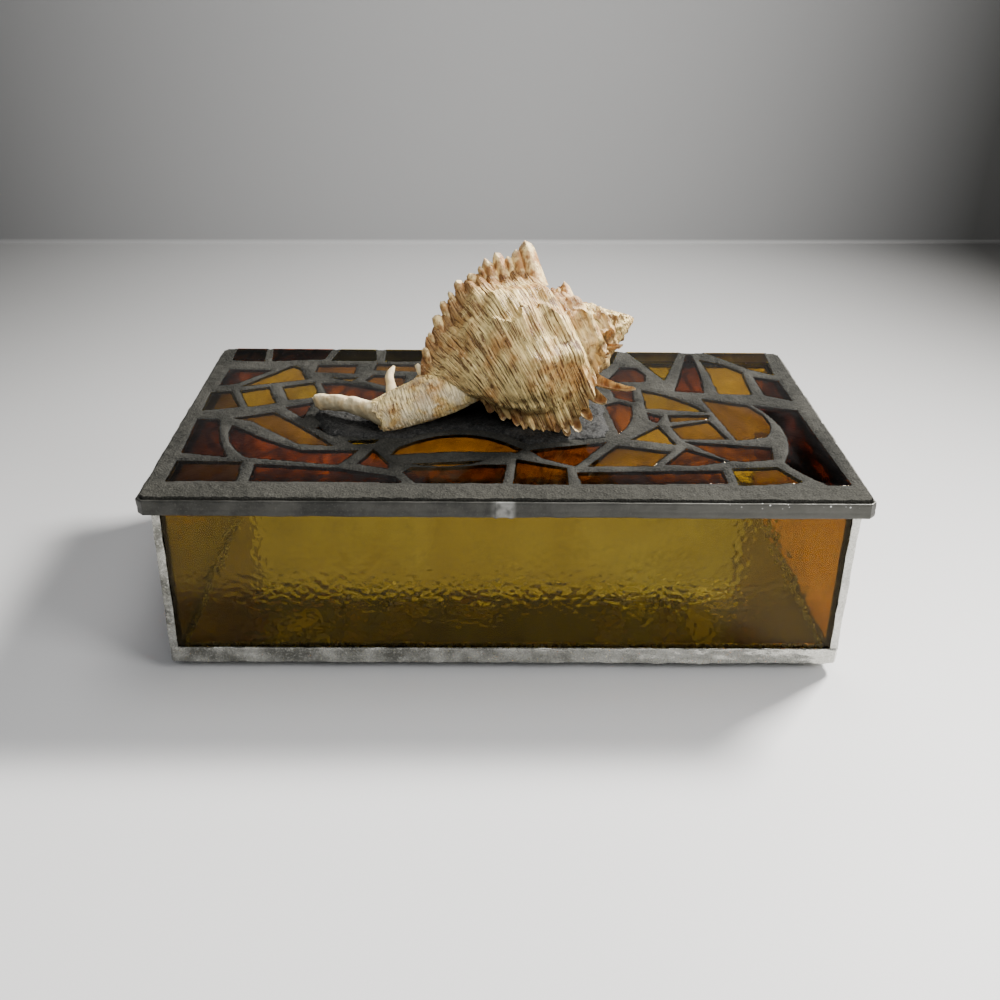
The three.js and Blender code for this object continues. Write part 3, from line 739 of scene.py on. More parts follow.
def tileMesh(shape, name):
    mesh = bpy.data.meshes.new(name)
    grownSides(shape, mosaic["grow"])
    bmesh.ops.translate(shape, verts=shape.verts, vec=(0, 0, mosaic["lift"] * mm))
    shape.to_mesh(mesh)
    shape.free()
    return mesh


def tileColours(slot, seed):  # each piece was cut from another part of a sheet
    pale, deep, size = glassLooks[slot]
    shade = 0.8 + 0.4 * cellValue(np.array([seed, 3, 5]))
    warm = 0.88 + 0.24 * cellValue(np.array([seed, 8, 2]))

    def varied(colour):
        return tuple(min(0.98, c * s) for c, s in zip(colour, (shade, shade * warm, shade * warm)))

    return varied(pale), varied(deep), size


def makeTiles():
    tileNodes = sorted(name for name in nodes if name.endswith("_tile"))
    shapes = {name: (slotOf[name], cleanCopy(nodes[name].data), [name]) for name in tileNodes}
    top = boxOf("lid_base_glass")[1][2]
    for name, (slot, outline) in slivers.items():
        shapes[name] = (slot, prismShape(shrunk(outline), top, top + mosaic["tileGlass"]), [])
    for seed, (name, (slot, shape, replaced)) in enumerate(shapes.items()):
        look, web = tileColours(slot, seed), mosaic["webs"][slot]
        finish = glassFinish(f"{name}Glass", look, seed, mosaic["ripple"], web=web)
        pieceName = name.replace("_tile", "_glass_piece")
        piece = finishPiece(tileMesh(shape, pieceName), pieceName, finish, replaced, 60)
        bevel = piece.modifiers.new("edges", "BEVEL")
        bevel.width = mosaic["bevel"] * mm
        bevel.segments = 2
        bevel.limit_method = "ANGLE"
    return tileNodes


def shrunk(outline):  # corners drawn towards the middle by the width of a joint
    outline = np.array(outline, float)
    middle = outline.mean(0)
    away = outline - middle
    return middle + away * (1 - mosaic["sliverGap"] / np.linalg.norm(away, axis=1)[:, None])


tileNodes = makeTiles()
print("tiles made:", len(tileNodes), "and", len(slivers), "slivers")


# Distances from outlines
def bottomEdges(node):  # the edges round a node's lowest flat face, as an array of point pairs in mm
    mesh = nodes[node].data
    points = np.zeros(len(mesh.vertices) * 3)
    mesh.vertices.foreach_get("co", points)
    points = np.round(points.reshape(-1, 3) / mm, 3)
    corners = np.zeros(len(mesh.loops), int)
    mesh.loops.foreach_get("vertex_index", corners)
    triangles = points[corners].reshape(-1, 3, 3)
    across = np.cross(triangles[:, 1] - triangles[:, 0], triangles[:, 2] - triangles[:, 0])
    facing = across[:, 2] / np.maximum(np.linalg.norm(across, axis=1), 1e-12)
    low = triangles[facing < -0.5][..., :2]
    pairs = np.stack([low, np.roll(low, -1, axis=1)], 2).reshape(-1, 2, 2)
    keys = np.array([sorted([tuple(a), tuple(b)]) for a, b in pairs]).reshape(-1, 4)
    _, first, counts = np.unique(keys, axis=0, return_index=True, return_counts=True)
    return pairs[first[counts == 1]]


def outlineEdges(outline):  # pairs of neighbouring corners
    outline = np.asarray(outline, float)
    return np.stack([outline, np.roll(outline, -1, axis=0)], 1)


def signedDistance(x, y, edges):  # to the nearest edge, below 0 inside
    best = np.full(x.shape, 1e9)
    inside = np.zeros(x.shape, bool)
    for (ax, ay), (bx, by) in edges:
        ex, ey = bx - ax, by - ay
        t = np.clip(((x - ax) * ex + (y - ay) * ey) / max(ex * ex + ey * ey, 1e-12), 0, 1)
        best = np.minimum(best, np.hypot(x - ax - t * ex, y - ay - t * ey))
        crosses = (ay > y) != (by > y)
        inside ^= crosses & (x < ax + (y - ay) * ex / (ey if ey else 1e-12))
    return np.where(inside, -best, best)


def platePiece(x, y, top, bottom, keep):  # closed plate over the kept cells of a grid
    rows, columns = x.shape
    count = rows * columns
    upper = np.stack([x, y, top], -1).reshape(-1, 3)
    lower = np.stack([x, y, bottom], -1).reshape(-1, 3)
    quads = gridFaces(rows, columns)[keep.ravel()]
    padded = np.pad(keep, 1)
    index = np.arange(count).reshape(rows, columns)
    walls = []
    for (di, dj), (a, b) in {
        (0, -1): (index[:-1, :-1], index[1:, :-1]), (1, 0): (index[1:, :-1], index[1:, 1:]),
        (0, 1): (index[1:, 1:], index[:-1, 1:]), (-1, 0): (index[:-1, 1:], index[:-1, :-1]),
    }.items():
        bare = keep & ~padded[1 + di:rows + di, 1 + dj:columns + dj]
        start, end = a[bare], b[bare]
        walls.append(np.stack([end, start, start + count, end + count], -1))
    faces = np.concatenate([quads, quads[:, ::-1] + count, *walls])
    used, packed = np.unique(faces, return_inverse=True)
    return np.concatenate([upper, lower])[used], [packed.reshape(faces.shape)]


# Grout
grout = {
    "spacing": 0.6, "level": 61.0, "grains": 0.22, "grainSize": 1.5, "swell": 0.18, "swellSize": 17,
    # where it meets a tile: how far it runs under, the slope beside it and how ragged it is; lap is its
    # height over the tile, and from plainFrom outwards it has its own level alone
    "underTile": 0.6, "bevel": 1.1, "ragged": 0.3, "raggedSize": 3.4, "lap": 0.03, "plainFrom": 5,
    # below the tile's edge its top is sunk; rimMove is the farthest a point moves, in spacings
    "sunk": 0.25, "sunkFrom": 0.25, "rimMove": 1.3, "reach": 6, "overGlass": 0.03,
    # it is higher along the front, and thinner over the channel's flange
    "front": 0.25, "frontFrom": 49.5, "frontTo": 52,
    "flange": 4, "flangeMargin": 0.3, "flangeUp": 0.93, "cut": 0.8,
    "deepTone": (0.013, 0.013, 0.0115), "tone": (0.034, 0.033, 0.029), "frontTone": (0.033, 0.032, 0.027),
    "grainTone": (0.09, 0.088, 0.075), "holeTone": (0.012, 0.012, 0.012),
}


def groutFinish():
    sand = Finish("greyGrout", Specular_IOR_Level=0.08)
    grain = sand.noise(0.55, 3, 0.7)
    patch = sand.noise(16, 4, 0.6)
    tone = sand.mix(patch.between(0.35, 0.7), grout["deepTone"], grout["tone"])
    tone = sand.mix(sand.axis(1).between(-46, -53) * 0.5, tone, grout["frontTone"])
    tone = sand.mix(grain.between(0.45, 0.75) * 0.5, tone, grout["grainTone"])
    tone = sand.mix((1 - grain.between(0.25, 0.45)) * 0.7, tone, grout["holeTone"])
    relief = sand.bump(grain * 0.8 + sand.cells(0.62) * 0.6, 0.38)
    return sand.feed(Base_Color=tone, Roughness=grain * 0.2 + 0.8, Normal=relief)


def nearestTile(x, y):  # distance to the nearest tile, below 0 inside, and the height of that tile there
    tileTop = boxOf("lid_base_glass")[1][2] + mosaic["tileGlass"] + mosaic["lift"]
    nearest = np.full(x.shape, 1e9)
    touch = np.full(x.shape, tileTop)
    reach = grout["reach"]
    for name in [*tileNodes, *slivers]:
        if name in slivers:
            edges, rise, front, depth = outlineEdges(shrunk(slivers[name][1])), 0, 0, 1
        else:
            edges = bottomEdges(name)
            tileLow, tileHigh = boxOf(name)
            rise, front, depth = tileHigh[2] + mosaic["lift"] - tileTop, tileLow[1], tileHigh[1] - tileLow[1]
        near = (
            (x > edges[..., 0].min() - reach) & (x < edges[..., 0].max() + reach)
            & (y > edges[..., 1].min() - reach) & (y < edges[..., 1].max() + reach))
        distance = np.full(x.shape, 1e9)
        distance[near] = signedDistance(x[near], y[near], edges) - mosaic["grow"]
        closer = distance < nearest
        nearest = np.where(closer, distance, nearest)
        touch = np.where(closer, tileTop + rise * np.clip((y - front) / depth, 0, 1), touch)
    return nearest, touch


# One plate over the whole lid, left open over the tiles. Beside a tile it starts at the tile's top and
# slopes to its own level; the rim of each hole is drawn under the tile's edge.
def makeGrout():
    low, high = boxOf("grout")
    spacing, ragged = grout["spacing"], grout["ragged"]
    x, y = np.meshgrid(
        np.linspace(low[0], high[0], int((high[0] - low[0]) / spacing)),
        np.linspace(low[1], high[1], int((high[1] - low[1]) / spacing)), indexing="ij")
    nearest, touch = nearestTile(x, y)
    here = flatPoints(x, y)
    unevenness = layeredWaves(here, grout["raggedSize"], 3, 30) * ragged
    level = grout["level"] + waves(here, grout["swellSize"], 31) * grout["swell"]
    level = level + layeredWaves(here, grout["grainSize"], 2, 33) * grout["grains"]
    frontFrom, frontTo = grout["frontFrom"], grout["frontTo"]
    level = level + np.where(y < -frontFrom, grout["front"], 0) * smoothStep(-y, frontFrom, frontTo)
    climb = smoothStep(nearest + unevenness, 0, grout["bevel"])
    sunk = touch - grout["sunk"]
    top = touch + grout["lap"] + (np.maximum(level, sunk) - touch) * climb
    top = np.where(nearest > grout["plainFrom"], level, top)
    stop = -(grout["underTile"] + np.clip(unevenness, -ragged, ragged))
    gx, gy = np.gradient(nearest, x[1, 0] - x[0, 0], y[0, 1] - y[0, 0])
    length = np.maximum(np.hypot(gx, gy), 0.3)
    inside = nearest < stop
    keep = ~(inside[:-1, :-1] & inside[1:, :-1] & inside[1:, 1:] & inside[:-1, 1:])
    move = np.where(inside, np.clip(stop - nearest, 0, spacing * grout["rimMove"]), 0)
    x = x + gx / length * move
    y = y + gy / length * move
    top = np.where(nearest < -grout["sunkFrom"], sunk, top)
    flangeEdge = boxOf("lid_channel")[1][:2] - grout["flange"]
    margin = grout["flangeMargin"]
    over = (np.abs(x) > flangeEdge[0] - margin) | (np.abs(y) > flangeEdge[1] - margin)
    bottom = low[2] + np.where(over, grout["flangeUp"], grout["overGlass"])
    half = np.minimum(np.abs(low[:2]), high[:2])
    within = (np.abs(x) + np.abs(y)) < half.sum() - grout["cut"]
    keep &= within[:-1, :-1] & within[1:, 1:] & within[1:, :-1] & within[:-1, 1:]
    points, faces = platePiece(x, y, top, bottom, keep)
    makePiece("groutBetweenTiles", points, faces, "grout", groutFinish(), ["grout"], 70)


makeGrout()
print("grout made")


# Shell. d is the distance from the spire tip along the axis on which the whorls coil; the angle about
# it is 0 towards the front, 90 up and 180 towards the back. Every whorl repeats the last one, smaller.
shell = {
    "spireTip": (41, 5, 93), "canalBreak": (-40.5, -12, 65.5), "canalEnd": (-62.5, 0, 65.2),
    "growth": 1.58, "lip": 230, "varixStep": 120, "profileAngle": 110, "whorls": 6, "rest": 61.5,
    "rows": 330, "columns": 296,
    "profile": [
        (0, 0), (1, 1.4), (5, 4.3), (10, 7.4), (17, 12.2), (21, 14), (22.6, 14.2), (23.8, 16.6), (25.6, 20.6),
        (27.6, 21.8), (31, 22.6), (36, 24.4), (41, 25), (47, 24), (54, 20.3), (60, 15.5), (66, 10.5),
        (70, 7), (74, 3), (76, 0)],
    "canal": [(0, 0), (40, 4), (50, 6.4), (60, 7.4), (70, 7.4), (78, 6.6), (84, 6), (88, 5.3)],
    "tip": [(0, 4.4), (0.06, 4.1), (0.2, 3.6), (0.4, 3.2), (0.6, 3.0), (0.8, 2.8), (0.94, 2.6), (1, 1.7)],
    # height of a varix at places along the whorl
    "varix": [
        (22.3, 0), (24, 5.0), (27, 6.8), (34, 6.9), (44, 6.4), (56, 5.8), (64, 4.4), (70, 2.4), (76, 0)],
    # how far the front varix slants down towards the canal, at places along the whorl, in degrees
    "slant": [(20, -6), (28, -16), (36, -34), (50, -46), (70, -52)],
    "rise": 11, "fall": 4.5, "lobePitch": 3.7, "lobeDepth": 1.9, "olderTwist": 22, "crestWide": 7,
    # ribs between two varices: angle, width in degrees and height against the rib table; they slant too
    "rib": [(23, 0), (25.5, 4.4), (28, 3.8), (32, 3.0), (44, 2.2), (58, 0)],
    "ledgeAt": 52, "ledgeFall": 3.0, "ledgeRise": 13, "ledgeWander": 9,
    "lowRibs": [(14, 8, 0.7), (78, 8, 0.45)],
    "cordPitch": 1.15, "cordHeight": 0.05, "ropeHeight": 0.24,
    "lumps": 1.15, "frills": (0.30, 0.5), "brokenEdge": 1.6,
    # place along the whorl, length above the surface, half width, lean towards the spire
    "spines": [
        (26.3, 14.0, 3.7, 0.10), (29.5, 10.9, 2.8, 0.10), (31.9, 9.0, 1.9, 0.05), (34.6, 10.9, 2.6, 0.0),
        (38.0, 9.0, 2.8, -0.04)],
    "frontSpines": [
        (25.4, 13.5, 2.6, 0.8), (29.0, 10.5, 2.9, 0.35), (33.2, 10.5, 2.4, 0.1), (37.4, 10.6, 2.2, 0.0),
        (41.6, 9.8, 2.1, 0.0)],
    "lobe": {"first": 40.3, "last": 70, "length": 0.2, "half": 1.9},
    # angle of the varix, whorl, number of spines
    "spineRows": [(110, 0, 13), (-10, 0, 13), (230, 0, 12), (110, 1, 3), (-10, 1, 2)],
    # points and radii of the two bent spines on the canal
    "canalSpines": [
        ([(-35, -9, 69), (-36.5, -6, 72.5), (-37.5, -2.5, 75.5), (-36, 0, 78)], (2.4, 1.7, 1.3, 0.5)),
        ([(-25, -6, 73), (-26.5, -4, 77), (-28.5, -2.5, 79.5)], (2.2, 1.6, 0.7))],
}

# Fine relief of the shell, and how its points are spread
surface = {
    # rows crowd towards the spire tip, and columns on the varices, over crowdWide degrees
    "tipCrowding": 1.05, "varixCrowding": 3.0, "crowdWide": 9, "firstColumn": 0.3,
    # the columns follow the slant of the front varix, most at slantAt
    "slantAt": -25, "slantWide": 50, "slantReadAt": -35,
    # the relief fades out towards the spire tip, where the shell is thin, and on the canal
    "fadeFrom": 3, "fadeTo": 14, "thinFrom": 2, "thinTo": 12, "thinShare": (0.45, 0.55), "canalShare": 0.35,
    "cordsWorn": 1.5, "ropesBetween": 0.5, "frillSize": 4.2, "frillTurn": 0.8, "frillAlong": 0.25,
    "lumpSize": 7, "brokenSize": 3, "brokenLong": 4,
}


def table(name, x, right=None):  # straight lines between the points of one of the shell's tables
    points = np.array(shell[name], float)
    return np.interp(x, points[:, 0], points[:, 1], right=right)


def shellAxes():  # spire tip, axis towards it, upwards and forwards square to it, and the length
    tip, end = np.array(shell["spireTip"], float), np.array(shell["canalBreak"], float)
    length = np.linalg.norm(tip - end)
    axis = (tip - end) / length
    up = np.array([0, 0, 1.0]) - axis * axis[2]
    up /= np.linalg.norm(up)
    forward = np.cross(axis, up)
    return tip, axis, up, forward * -np.sign(forward[1]), length


def growthAt(angle):  # size against the outline at profileAngle; it grows by growth in each turn
    return shell["growth"] ** ((angle - shell["profileAngle"]) / 360)


def varixAngle(varix, place, whorl):  # on older whorls the varices stand a little further round
    return varix + (table("slant", place) if varix < 100 else 0 * place) + shell["olderTwist"] * whorl


def nearestVarix(angle, place, whorl):  # angle from the nearest varix, with its sign
    best = 0 * angle + 999
    for k in range(4):
        offset = angle - varixAngle(shell["lip"] - k * shell["varixStep"], place, whorl)
        best = np.where(np.abs(offset) < np.abs(best), offset, best)
    return best


# a varix climbs slowly, falls steeply and is notched between its lobes
def varixRelief(angle, place, whorl):
    offset = nearestVarix(angle, place, whorl)
    worn = 1 / (1 + whorl) ** 2
    shape = np.where(offset < 0, np.exp(offset / shell["rise"]), np.exp(-(offset / shell["fall"]) ** 2))
    notch = (1 - np.abs(np.sin(math.pi * place / shell["lobePitch"]))) ** 1.5
    crest = np.exp(-(offset / shell["crestWide"]) ** 2)
    return table("varix", place) * shape - worn * shell["lobeDepth"] * notch * crest * (place > 23), shape


def ribRelief(angle, place):  # low ribs between two varices, the middle one a ledge
    along = angle - 0.5 * (place - 28)
    wander = shell["ledgeWander"] * layeredWaves(flatPoints(place, angle * 0), 5, 3, 41)
    offset = along - shell["ledgeAt"] + wander
    fall, rise = np.exp(-(offset / shell["ledgeFall"]) ** 2), np.exp(offset / shell["ledgeRise"])
    ribs = np.where(offset > 0, fall, rise)
    for at, wide, high in shell["lowRibs"]:
        ribs = ribs + np.exp(-((along - at) / wide) ** 2) * high
    return ribs * table("rib", place)


# the outermost of all whorls and the canal wins: its radius, and what the colours need
def shellRadius(d, degrees):
    angle = np.where(degrees > shell["lip"], degrees - 360, degrees)
    radius = table("canal", d)
    place, ridge, number = d + 0.0, 0 * d, 0 * d - 1
    for whorl in range(shell["whorls"]):
        scale = growthAt(angle) / shell["growth"] ** whorl
        here = d / scale
        body = table("profile", here, right=-1)
        varix, shape = varixRelief(angle, here, whorl)
        relief = varix + ribRelief(angle, here) * (1 + 0.3 * whorl)
        worth = np.where(body > 0, scale * (body + relief), 0)
        wins = worth > radius
        radius = np.where(wins, worth, radius)
        place = np.where(wins, here, place)
        ridge = np.where(wins, shape, ridge)
        number = np.where(wins, whorl, number)
    return radius, place, ridge, number


def columnAngles(count):  # angles round the axis, closer together on the varices
    angle = np.linspace(shell["lip"] - 360, shell["lip"], 3601)
    varices = [shell["lip"] - k * shell["varixStep"] for k in (3, 2, 1, 0)]
    crowd, wide = surface["varixCrowding"], surface["crowdWide"]
    weight = 1 + sum(crowd * np.exp(-((angle - varix) / wide) ** 2) for varix in varices)
    total = np.concatenate([[0], np.cumsum((weight[1:] + weight[:-1]) / 2)])
    return np.interp(np.arange(count) / count * total[-1], total, angle)


def shellPoints(centre, degrees, radius, up, forward):  # kept above the level the shell rests on
    turn = np.radians(degrees)[..., None]
    out = np.cos(turn) * forward + np.sin(turn) * up
    fall = -out[..., 2] * radius
    room = centre[..., 2] - shell["rest"]
    reach = np.where(fall > room, radius * room / np.maximum(fall, 1e-6), radius)
    return centre + out * reach[..., None]


def cappedTube(points, first, last):  # rings of points closed at both ends
    rows, columns = points.shape[:2]
    count = rows * columns
    j = np.arange(columns)
    after = (j + 1) % columns
    caps = [np.stack([np.full(columns, count), after, j], -1),
            np.stack([np.full(columns, count + 1), count - columns + j, count - columns + after], -1)]
    faces = [gridFaces(rows, columns, closeColumns=True, flip=True), *caps]
    return np.concatenate([points.reshape(-1, 3), [first, last]]), faces


# Rings round the axis with the radius of shellRadius, fine cords and ropes along the turns, frills, lumps
# and a broken end.
def makeShellBody(material):
    tip, axis, up, forward, length = shellAxes()
    rows, columns = shell["rows"], shell["columns"]
    d = (length * (np.arange(1, rows + 1) / rows) ** surface["tipCrowding"])[:, None] + np.zeros(columns)
    base = columnAngles(columns)[None, :] + surface["firstColumn"]
    follow = np.exp(-((base - surface["slantAt"]) / surface["slantWide"]) ** 2)
    degrees = base + table("slant", d / growthAt(surface["slantReadAt"])) * follow
    radius, place, ridge, number = shellRadius(d, degrees)
    centre = tip - axis * d[..., None]
    rough = shellPoints(centre, degrees, radius, up, forward)
    broken = layeredWaves(rough, surface["brokenSize"], 2, 55) * shell["brokenEdge"]
    broken = broken * smoothStep(d, length - surface["brokenLong"], length)
    centre = centre - axis * broken[..., None]
    older = np.clip(number, 0, 3)
    cords = np.cos(2 * math.pi * place / shell["cordPitch"])
    ropes = np.cos(2 * math.pi * place / shell["lobePitch"] + math.pi)
    thin, more = surface["thinShare"]
    thick = thin + more * smoothStep(radius, surface["thinFrom"], surface["thinTo"])
    fade = smoothStep(d, surface["fadeFrom"], surface["fadeTo"]) * thick
    fade = fade * np.where(number < 0, surface["canalShare"], 1)
    cords = cords * shell["cordHeight"] / (1 + surface["cordsWorn"] * older)
    ropes = ropes * shell["ropeHeight"] * (surface["ropesBetween"] + ridge)
    frillPlace = np.stack([degrees * surface["frillTurn"], place * surface["frillAlong"], older], -1)
    frills = layeredWaves(frillPlace, surface["frillSize"], 3, 50)
    frills = frills * (shell["frills"][0] + shell["frills"][1] * ridge)
    lumps = layeredWaves(rough, surface["lumpSize"], 4, 52) * shell["lumps"]
    relief = (cords + ropes + frills + lumps) * fade
    points = shellPoints(centre, degrees, radius + relief, up, forward)
    points, faces = cappedTube(points, tip, points[-1].mean(0))
    marks = {"place": place, "ridge": ridge, "whorl": number, "turn": degrees, "along": d}
    marks = {name: np.append(values.ravel(), values.ravel()[[0, -1]]) for name, values in marks.items()}
    return makePiece("murexShell", points, faces, "shell", material, ["shell"], 60, marks)


# The glued-on end of the canal, broken off short; it starts a little inside the canal and is arched
tipShape = {
    "rows": 90, "columns": 72, "inside": 0.04, "arch": 1.4, "rootUp": 0.9, "lumpSize": 3.2, "lumps": 0.4,
    "long": 22, "brokenRings": 3, "brokenSize": 1.6, "broken": 0.6,
}


def makeCanalTip(material):
    end, stop = np.array(shell["canalBreak"], float), np.array(shell["canalEnd"], float)
    up, forward = shellAxes()[2:4]
    rows, columns = tipShape["rows"], tipShape["columns"]
    t = np.linspace(-tipShape["inside"], 1, rows)
    centre = end + (stop - end) * t[:, None]
    centre[:, 2] += tipShape["arch"] * np.sin(math.pi * np.clip(t, 0, 1)) + tipShape["rootUp"] * (1 - t)
    degrees = np.arange(columns)[None, :] * 360 / columns + 0 * t[:, None]
    radius = table("tip", t)[:, None] + 0 * degrees
    points = shellPoints(centre[:, None], degrees, radius, up, forward)
    radius = radius + layeredWaves(points, tipShape["lumpSize"], 3, 60) * tipShape["lumps"]
    points = shellPoints(centre[:, None], degrees, radius, up, forward)
    last = slice(-tipShape["brokenRings"], None)
    uneven = waves(points[last], tipShape["brokenSize"], 61)[..., None]
    points[last] += (stop - end) / tipShape["long"] * uneven * tipShape["broken"]
    shape = cappedTube(points, centre[0], points[-1].mean(0))
    return makePiece("canalTip", *shape, "shell", material, (), 60)


# Spines like folded leaves, standing in a row on each varix
leaf = {
    # blunt is the width near the tip against the root's, and roundEnd rounds its end off
    "rows": 12, "columns": 13, "blunt": 0.68, "roundEnd": 8, "narrowest": 0.02, "leanPower": 1.6,
    "hollow": 0.9, "tipThick": 0.3, "rootThicker": 0.4, "ragSize": 1.6, "rag": 0.8,
    # how deep the root starts in the whorl, how far it stands towards the opening, and the least length
    "rootDeep": 1.5, "rootShift": 0.4, "restGap": 0.3, "shortest": 2,
    # what differs from leaf to leaf: lowest value and range
    "lengthRange": (0.8, 0.4), "lobeLonger": 2.2, "lobeShift": 1.3, "lobeWidth": (0.7, 0.6),
    "widthRange": (0.92, 0.16), "olderLength": 0.68, "olderWidth": 0.9,
}


def chance(name, *cell):  # a value in one of the leaf's ranges, fixed for each cell
    lowest, span = leaf[name]
    return lowest + span * cellValue(np.array(cell))


# one leaf: s runs from root to tip, t across it, and it is hollow on the opening side
def scoop(root, out, along, opening, length, width, lean):
    s = np.linspace(0, 1, leaf["rows"])[:, None, None]
    t = np.linspace(-1, 1, leaf["columns"])[None, :, None]
    blunt = leaf["blunt"]
    rounded = np.sqrt(np.clip(1 - s ** leaf["roundEnd"], leaf["narrowest"], 1))
    half = width * ((1 - s) * (1 - blunt) + blunt) * rounded
    centre = root + out * (s * length) + along * (lean * length * s ** leaf["leanPower"])
    front = centre + along * (half * t) - opening * (half * leaf["hollow"] * (1 - t ** 2))
    back = front - opening * (leaf["tipThick"] + leaf["rootThicker"] * (1 - s))
    rag = layeredWaves(front, leaf["ragSize"], 2, 70)[..., None] * leaf["rag"] * s
    shape = closedSlab(front + out * rag, back + out * rag)
    mid = leaf["columns"] // 2
    cross = np.cross(front[1, mid] - front[0, mid], front[0, mid + 1] - front[0, mid])
    if np.dot(cross, opening) < 0:
        shape = (shape[0], [face[:, ::-1] for face in shape[1]])
    hollow = np.concatenate([(np.ones(s.shape) * (1 - t ** 2)).ravel(), np.zeros(s.size * t.size)])
    height = np.concatenate([np.broadcast_to(s[..., 0], (s.size, t.size)).ravel()] * 2)
    return shape, height, hollow


def spineList(varix, count):  # the tall spines of a varix, then its lobes
    lobe = shell["lobe"]
    places = np.arange(lobe["first"], lobe["last"], shell["lobePitch"])
    tall = shell["frontSpines"] if varix == -10 else shell["spines"]
    return (tall + [(float(place), None, lobe["half"], -0.1) for place in places])[:count]


def makeSpines(material):  # one scoop on each lobe of a varix, cut short at the level the shell rests on
    tip, axis, up, forward = shellAxes()[:4]
    parts, heights, hollows = [], [], []
    for varix, whorl, count in shell["spineRows"]:
        for index, (place, high, half, lean) in enumerate(spineList(varix, count)):
            degrees = float(varixAngle(varix, np.array(place), whorl)) + 0.5
            scale = growthAt(degrees) / shell["growth"] ** whorl
            d = place * scale
            radians = math.radians(degrees)
            out = math.cos(radians) * forward + math.sin(radians) * up
            opening = -math.sin(radians) * forward + math.cos(radians) * up
            body = float(table("profile", np.array(place))) * scale
            crest = float(table("varix", np.array(place))) + shell["lobe"]["length"]
            jitter = chance("lengthRange", varix, whorl, index)
            tall = (high or crest + leaf["lobeLonger"] * (jitter - 0.5)) * scale
            if not high:
                d += (cellValue(np.array([index, varix, 7])) - 0.5) * leaf["lobeShift"]
                half = half * chance("lobeWidth", index, 5, varix)
            if whorl:
                tall, half = tall * leaf["olderLength"], half * leaf["olderWidth"]
            deep = leaf["rootDeep"] * scale
            root = tip - axis * d + out * (body - deep) + opening * (leaf["rootShift"] * scale)
            if out[2] < 0:
                tall = min(tall, (root[2] - shell["rest"] - leaf["restGap"]) / -out[2])
            if tall < leaf["shortest"]:
                continue
            narrow, wider = leaf["widthRange"]
            half = half * scale * (narrow + wider * jitter)
            shape, height, hollow = scoop(root, out, axis, opening, tall + deep, half, lean)
            shape[0][:, 2] = np.maximum(shape[0][:, 2], shell["rest"])
            parts.append(shape)
            heights.append(height)
            hollows.append(hollow)
    points, faces = joined(parts)
    marks = {"spine": np.concatenate(heights), "hollow": np.concatenate(hollows)}
    return makePiece("shellSpines", points, faces, "shell", material, (), 60, marks)


bentSpine = {"rows": 28, "columns": 20, "rounds": 4, "lumpSize": 1.8, "lumps": 0.18}


def hornShape(points, radii):  # a bent round horn through a few points
    steps = bentSpine["columns"]
    points, radii = np.array(points, float), np.array(radii, float)
    knots = np.linspace(0, 1, len(points))
    t = np.linspace(0, 1, bentSpine["rows"])
    weights = np.stack([np.interp(t, knots, points[:, k]) for k in range(3)], -1)
    for _ in range(bentSpine["rounds"]):
        weights[1:-1] = (weights[:-2] + 2 * weights[1:-1] + weights[2:]) / 4
    radius = np.interp(t, knots, radii)
    along = np.gradient(weights, axis=0)
    along /= np.linalg.norm(along, axis=1)[:, None]
    side = np.cross(along, [0, 1, 0.2])
    side /= np.linalg.norm(side, axis=1)[:, None]
    other = np.cross(along, side)
    turn = np.arange(steps) / steps * 2 * math.pi
    ring = np.cos(turn)[None, :, None] * side[:, None] + np.sin(turn)[None, :, None] * other[:, None]
    body = weights[:, None] + ring * radius[:, None, None]
    body = body + ring * layeredWaves(body, bentSpine["lumpSize"], 2, 77)[..., None] * bentSpine["lumps"]
    return cappedTube(body, weights[0], weights[-1])


def makeCanalSpines(material):
    shape = joined([hornShape(points, radii) for points, radii in shell["canalSpines"]])
    return makePiece("canalSpines", *shape, "shell", material, (), 60)


# Colours of the shell
shellTones = {
    "brown": (0.50, 0.26, 0.075), "cream": (0.95, 0.72, 0.30), "spire": (0.38, 0.17, 0.05),
    "crest": (0.33, 0.145, 0.04), "crestPatch": (0.36, 0.17, 0.05), "line": (0.12, 0.042, 0.010),
    "rope": (0.24, 0.10, 0.03), "blotch": (0.15, 0.055, 0.014), "knob": (0.10, 0.035, 0.012),
    "older": (0.82, 0.56, 0.28), "olderDark": (0.20, 0.08, 0.025), "canal": (0.93, 0.80, 0.53),
    "powder": (0.97, 0.82, 0.48),
    "spineBrown": (0.44, 0.22, 0.07), "spineCream": (0.93, 0.70, 0.32), "spineStreak": (0.16, 0.062, 0.018),
    "spineHollow": (0.17, 0.062, 0.018), "spineTip": (0.88, 0.74, 0.48),
    "chalk": (0.86, 0.73, 0.46), "chalkWorn": (0.70, 0.52, 0.27), "chalkSpeck": (0.5, 0.36, 0.22),
    # the lines follow the turns: degrees of turn for each millimetre of noise, and their number in a mm
    "lineLong": 34, "lineFine": 1.6, "relief": 0.4,
}


